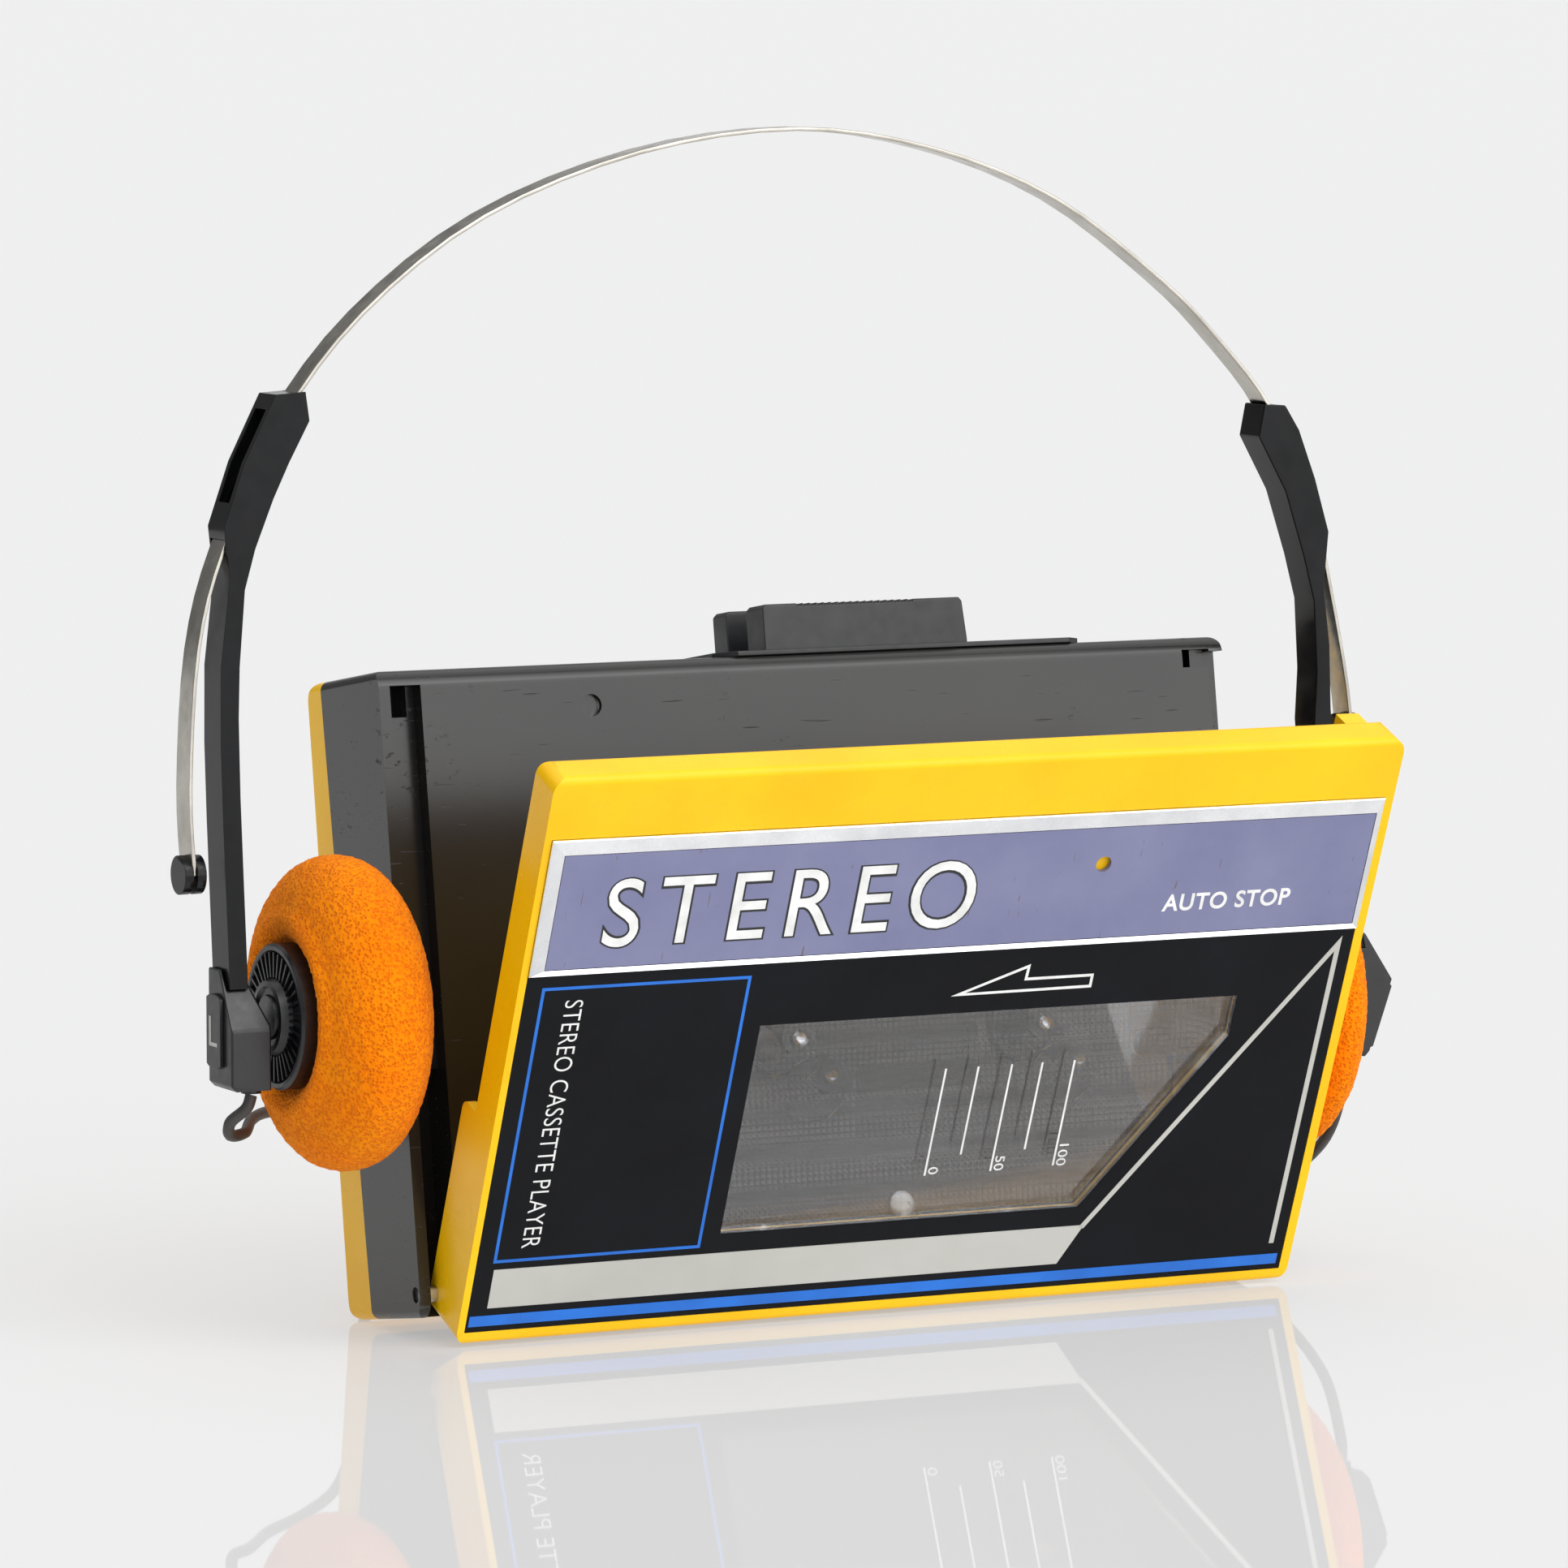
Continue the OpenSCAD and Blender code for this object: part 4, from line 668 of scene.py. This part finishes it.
# ---- ear cups ----
LEFT_CUP = HEADSET @ Matrix.Translation((-81.8, HEAD_Y, 49.2)) @ Matrix.Scale(-1, 4, (1, 0, 0))
RIGHT_CUP = HEADSET @ Matrix.Translation((78.93, HEAD_Y, 42.0)) @ Matrix.Rotation(math.radians(3), 4, "Y")
RIGHT_BADGE = (HEADSET @ Matrix.Translation((95.25, HEAD_Y, 39.15))
               @ Matrix.Rotation(math.radians(19.6), 4, "Y"))
LEFT_HALF, RIGHT_HALF = 9.5, 5.5
TO_X = Matrix.Rotation(math.radians(90), 4, "Y")
PAD_R, DRIVER_R = 23.5, 11.0


def pad_profile(half):
    """Half a section of a foam pad, from the driver's seat over the crown to the pressed face's middle."""
    outer = [(half - 3.0, DRIVER_R), (half - 1.7, DRIVER_R + 0.3), (half - 0.7, DRIVER_R + 1.6),
             (half - 0.15, DRIVER_R + 3.6)]
    crown = []
    for k in range(4, 45):
        a = math.radians(90 - 4 * k)
        crown.append((half * math.copysign(abs(math.sin(a)) ** 0.92, math.sin(a)),
                      PAD_R * abs(math.cos(a)) ** 0.60))
    crown = [(x, r) for x, r in crown if r > DRIVER_R + 4.4 or x < 0]
    return outer + crown + [(-half, 0.0)]


def foam_pad(name, half, place, body, stands_for):
    """A foam pad: its cover puffs out in a cloth simulation, and then gets its open-cell unevenness."""
    profile = pad_profile(half)
    seat = [(half - 3.0, 0.0)]
    made = lathe(seat + profile, Matrix.Scale(MM, 4), name, FOAM, body, count=72)
    made.parent = None
    puff(made)
    smooth = made.modifiers.new("smooth", "SUBSURF")
    smooth.levels = smooth.render_levels = 2
    bpy.context.view_layer.update()
    mesh = bpy.data.meshes.new_from_object(made.evaluated_get(bpy.context.evaluated_depsgraph_get()))
    bpy.data.objects.remove(made)
    normals = [v.normal.copy() for v in mesh.vertices]
    for v, normal in zip(mesh.vertices, normals):
        p = v.co * 1000
        depth = 0.12 * noise.fractal(p * 0.9, 1.0, 2.2, 3) + 0.10 * noise.noise(p * 2.4)
        v.co += normal * depth * MM
    world = place @ Matrix.Scale(1000, 4)
    mesh.transform(world)
    if world.determinant() < 0:
        mesh.flip_normals()
    mesh.shade_smooth()
    done = bpy.data.objects.new(name, mesh)
    bpy.context.scene.collection.objects.link(done)
    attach(done, body)
    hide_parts(stands_for)
    return done


MOST_PUFF = 0.7 * MM


def puff(made):
    """Lets the pad's skin swell under a slight pressure, and caps how far any point goes."""
    rest = [v.co.copy() for v in made.data.vertices]
    cloth = made.modifiers.new("cloth", "CLOTH")
    cloth.settings.use_pressure = True
    cloth.settings.uniform_pressure_force = 4.0
    cloth.settings.tension_stiffness = cloth.settings.compression_stiffness = 30.0
    cloth.settings.effector_weights.gravity = 0.0
    cloth.point_cache.frame_start, cloth.point_cache.frame_end = 1, 20
    for step in range(1, 21):
        bpy.context.scene.frame_set(step)
    mesh = bpy.data.meshes.new_from_object(made.evaluated_get(bpy.context.evaluated_depsgraph_get()))
    for v, start, swollen in zip(made.data.vertices, rest, mesh.vertices):
        move = swollen.co - start
        if move.length == move.length and move.length > MOST_PUFF:
            move *= MOST_PUFF / move.length
        v.co = start + move if move.length == move.length else start
    made.modifiers.clear()
    bpy.context.scene.frame_set(1)


foam_pad("left_foam_pad", LEFT_HALF, LEFT_CUP, "left_cup", "left_pad")
foam_pad("right_foam_pad", RIGHT_HALF, RIGHT_CUP, "right_cup", "right_pad")

for side, cup, half in (("left", LEFT_CUP, LEFT_HALF), ("right", RIGHT_CUP, RIGHT_HALF)):
    body = f"{side}_cup"
    rim = [(half - 2.9, 0), (half - 2.9, 10.9), (half + 0.5, 10.9), (half + 0.9, 10.5), (half + 0.9, 9.9)]
    well = [(half + 0.3, 9.5), (half + 0.3, 6.0), (half + 1.3, 5.6), (half + 2.0, 5.4), (half + 2.1, 4.6)]
    hub = [(half + 1.6, 4.3), (half + 1.6, 3.4), (half + 2.1, 3.2), (half + 2.2, 0)]
    plate = lathe(rim + well + hub, cup, f"{side}_driver_plate", BLOCK_ABS, body, count=72)
    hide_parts(f"{side}_driver")
    fins = {"Count": 36, "Radius": 7.75, "Length": 3.7, "Width": 0.36, "Height": 0.9}
    repeated(f"{side}_driver_fins", RING, fins, cup @ Matrix.Translation((half + 0.5, 0, 0)) @ TO_X,
             BLOCK_ABS, body)

# the side letters on the blocks' badges
LETTER = (-1.5, -2.2, 1.5, 2.2)
OUTWARD = Matrix.Rotation(math.radians(90), 4, "Z")
LEFT_BADGE = LEFT_CUP @ Matrix.Translation((LEFT_HALF + 2.2 + 1.4 + 6.4 + 0.6, 0, -1.6)) @ OUTWARD
words("left_letter", "L", LETTER, LEFT_BADGE @ Matrix.Scale(-1, 4, (1, 0, 0)), SILVER_INK, "headset",
      "headset_plastic", -0.02, 0.05)
words("right_letter", "R", LETTER, RIGHT_BADGE @ Matrix.Translation((0.6, 0, 0)) @ OUTWARD, SILVER_INK,
      "headset", "headset_plastic", -0.02, 0.05)

# ---- fittings on the case ----
for side, x in (("supply", REEL_X - REEL_PITCH / 2), ("takeup", REEL_X + REEL_PITCH / 2)):
    axis = CASE @ Matrix.Translation((x, 0, REEL_Z)) @ Matrix.Rotation(math.radians(90), 4, "Z")
    tip = [(SPINDLE_TIP_Y + 0.6, 0), (SPINDLE_TIP_Y + 0.6, 1.15), (SPINDLE_TIP_Y - 0.1, 1.15),
           (SPINDLE_TIP_Y - 0.5, 0.8), (SPINDLE_TIP_Y - 0.6, 0)]
    lathe(tip, axis, f"{side}_cap", POLISHED_STEEL, f"{side}_spindle", count=24)
SIDE = CASE @ Matrix.Translation((CASE_W / 2, 0, 0)) @ Matrix.Rotation(math.radians(90), 4, "Z")
PHONE_SOCKET = CASE @ Matrix.Translation((CASE_W / 2, -11.2, 11.5))
POWER_SOCKET = CASE @ Matrix.Translation((CASE_W / 2, -11.2, CASE_H - 24.6))
lathe([(0.02, 1.9), (0.02, 2.85), (0.3, 2.75), (0.35, 2.1), (0.25, 1.85), (0.02, 1.9)], PHONE_SOCKET,
      "phone_socket_ring", ZINC_STEEL, "player", count=40)
lathe([(0.02, 1.75), (0.02, 2.25), (0.22, 2.15), (0.22, 1.8), (0.02, 1.75)], POWER_SOCKET,
      "power_socket_ring", ZINC_STEEL, "player", count=32)
words("side_words_phones", "PHONES", (-16.5, 16.2, -6.5, 17.9), SIDE, SILVER_INK, "player", "case_plastic",
      -0.01, 0.04)
words("side_words_dc", "DC IN", (-14.2, CASE_H - 20.4, -8.2, CASE_H - 18.8), SIDE, SILVER_INK, "player",
      "case_plastic", -0.01, 0.04)
words("side_words_volume", "VOLUME", (-17.0, CASE_H - 8.6, -7.0, CASE_H - 6.9), SIDE, SILVER_INK, "player",
      "case_plastic", -0.01, 0.04)
BACK = CASE @ Matrix.Rotation(math.radians(180), 4, "Z")
plate = Sheet()
plate.plate([[(-52, 20), (-18, 20), (-18, 44), (-52, 44)]], -0.05, 0.12)
plate.made("back_plate", BACK, BRIGHT_ALUMINIUM, "player", "band_metal")
rules = {"Count": 5, "Pitch": 4.2, "Length": 0.35, "Width": 0.06, "Height": 28.0}
RULES = BACK @ Matrix.Translation((-35.0, -0.14, 23.6)) @ Matrix.Rotation(math.radians(-90), 4, "Y")
repeated("back_plate_rules", ROW, rules, RULES, BLACK_INK, "player")
HATCH = (CASE @ Matrix.Translation((-49.2, 0.0, 50.4)) @ Matrix.Rotation(math.radians(180), 4, "Z")
         @ Matrix.Diagonal((3.4, 1, 1.0, 1)))
words("hatch_words", "OPEN", (-1, -1, 1, 1), HATCH, BLACK_INK, "battery_door", "yellow_plastic",
      -0.01, 0.04)
hatch = Sheet()
hatch.plate([[(-3.2, 47.6), (3.2, 47.6), (0.0, 44.4)]], -0.01, 0.04)
hatch.made("hatch_arrow", BACK @ Matrix.Translation((49.2, 0, 0)), BLACK_INK, "battery_door",
           "yellow_plastic")

# ---- key symbols ----
KEY_TOP = CASE_H + 7.9
TOP = CASE @ Matrix.Translation((0, 0, KEY_TOP)) @ Matrix.Rotation(math.radians(-90), 4, "X")
play = Sheet()
play.plate([[(-3.3, -21.1), (-3.3, -18.9), (-1.1, -20.0)]], -0.01, 0.04)
play.made("play_mark", TOP, WHITE_INK, "play_key", "key_plastic")
stop = Sheet()
stop.plate([[(-3.6, -8.6), (-1.8, -8.6), (-1.8, -6.8), (-3.6, -6.8)]], -0.01, 0.04)
stop.made("stop_mark", TOP, WHITE_INK, "stop_key", "key_plastic")
wind = Sheet()
for u in (13.6, 15.4):
    wind.plate([[(u, -8.6), (u, -6.8), (u + 1.8, -7.7)]], -0.01, 0.04)
wind.made("forward_mark", TOP, WHITE_INK, "forward_key", "key_plastic")

# ---- rounded edges on the CAD nodes that show ----
FLAT_ANGLE = math.radians(28)
for name, node in nodes.items():
    if node.hide_render:
        continue
    node.data.shade_smooth()
    weld = node.modifiers.new("weld", "WELD")
    weld.merge_threshold = 0.002 * MM
    bevel = node.modifiers.new("edge", "BEVEL")
    bevel.width = EDGE.get(name, OTHER_EDGE) * MM
    bevel.segments = 2
    bevel.limit_method = "ANGLE"
    bevel.angle_limit = FLAT_ANGLE
    even = node.modifiers.new("flat_faces", "WEIGHTED_NORMAL")
    even.keep_sharp = True

# ---- floor and light ----
FLOOR_R = 60.0
floor_mesh = bpy.data.meshes.new("studio_floor")
floor_mesh.from_pydata([(-FLOOR_R, -FLOOR_R, 0), (FLOOR_R, -FLOOR_R, 0), (FLOOR_R, FLOOR_R, 0),
                        (-FLOOR_R, FLOOR_R, 0)], [], [(0, 1, 2, 3)])
floor = bpy.data.objects.new("studio_floor", floor_mesh)
bpy.context.scene.collection.objects.link(floor)
floor.location.z = -0.0002
acrylic, tree, shader, place = blank("white_gloss_tabletop")
tree.nodes.remove(shader)
diffuse = add(tree, "ShaderNodeBsdfDiffuse", {"Color": (0.62, 0.62, 0.625, 1)})
gloss = add(tree, "ShaderNodeBsdfGlossy", {"Color": (1, 1, 1, 1), "Roughness": 0.02})
glow = add(tree, "ShaderNodeEmission", {"Color": (1.0, 1.0, 1.0, 1), "Strength": 1.0})
soft = add(tree, "ShaderNodeMixShader", {0: 0.5, 1: diffuse.outputs[0], 2: glow.outputs[0]})
both = add(tree, "ShaderNodeMixShader", {0: 0.20, 1: soft.outputs[0], 2: gloss.outputs[0]})
tree.links.new(both.outputs[0], tree.nodes["Material Output"].inputs["Surface"])
floor_mesh.materials.append(acrylic)

world = bpy.data.worlds.new("studio")
bpy.context.scene.world = world
world.use_nodes = True
sky = world.node_tree
out = sky.nodes["Background"]
direction = add(sky, "ShaderNodeTexCoord").outputs["Generated"]
TOWARDS = (math.sin(math.radians(26.4)), math.cos(math.radians(26.4)), -0.10)
LOW_FRONT = (0.43, -0.88, 0.21)


def patch(way, edge, middle, strength):
    """A soft bright patch of the studio. Edge and middle are cosines of the angle off its direction."""
    facing = add(sky, "ShaderNodeVectorMath", {0: direction, 1: Vector(way).normalized()},
                 operation="DOT_PRODUCT").outputs["Value"]
    reach = {"Value": facing, "From Min": edge, "From Max": middle, "To Min": 0.0, "To Max": strength}
    return add(sky, "ShaderNodeMapRange", reach, interpolation_type="SMOOTHSTEP").outputs[0]


backdrop = patch(TOWARDS, 0.90, 0.96, 0.66)
ceiling = patch((0, 0.1, 1), 0.45, 0.85, 0.9)
low_softbox = patch(LOW_FRONT, 0.72, 0.90, 2.4)
level = 0.20
for part in (backdrop, ceiling, low_softbox):
    level = add(sky, "ShaderNodeMath", {0: level, 1: part}, operation="ADD").outputs[0]
sky.links.new(level, out.inputs["Strength"])
out.inputs["Color"].default_value = (1.0, 1.0, 1.0, 1.0)


def sun(name, azimuth, elevation, strength, spread):
    """A wide, soft light. Azimuth 0 is in front, and elevation is above the floor, both in degrees."""
    lamp = bpy.data.objects.new(name, bpy.data.lights.new(name, "SUN"))
    bpy.context.scene.collection.objects.link(lamp)
    a, e = math.radians(azimuth), math.radians(elevation)
    way = Vector((math.sin(a) * math.cos(e), -math.cos(a) * math.cos(e), math.sin(e)))
    lamp.rotation_euler = (-way).to_track_quat("-Z", "Y").to_euler()
    lamp.data.energy, lamp.data.angle = strength, math.radians(spread)


sun("key_softbox", 15, 52, 0.8, 40)
sun("fill_softbox", -50, 40, 0.25, 60)
bpy.context.scene.view_settings.view_transform = "Standard"
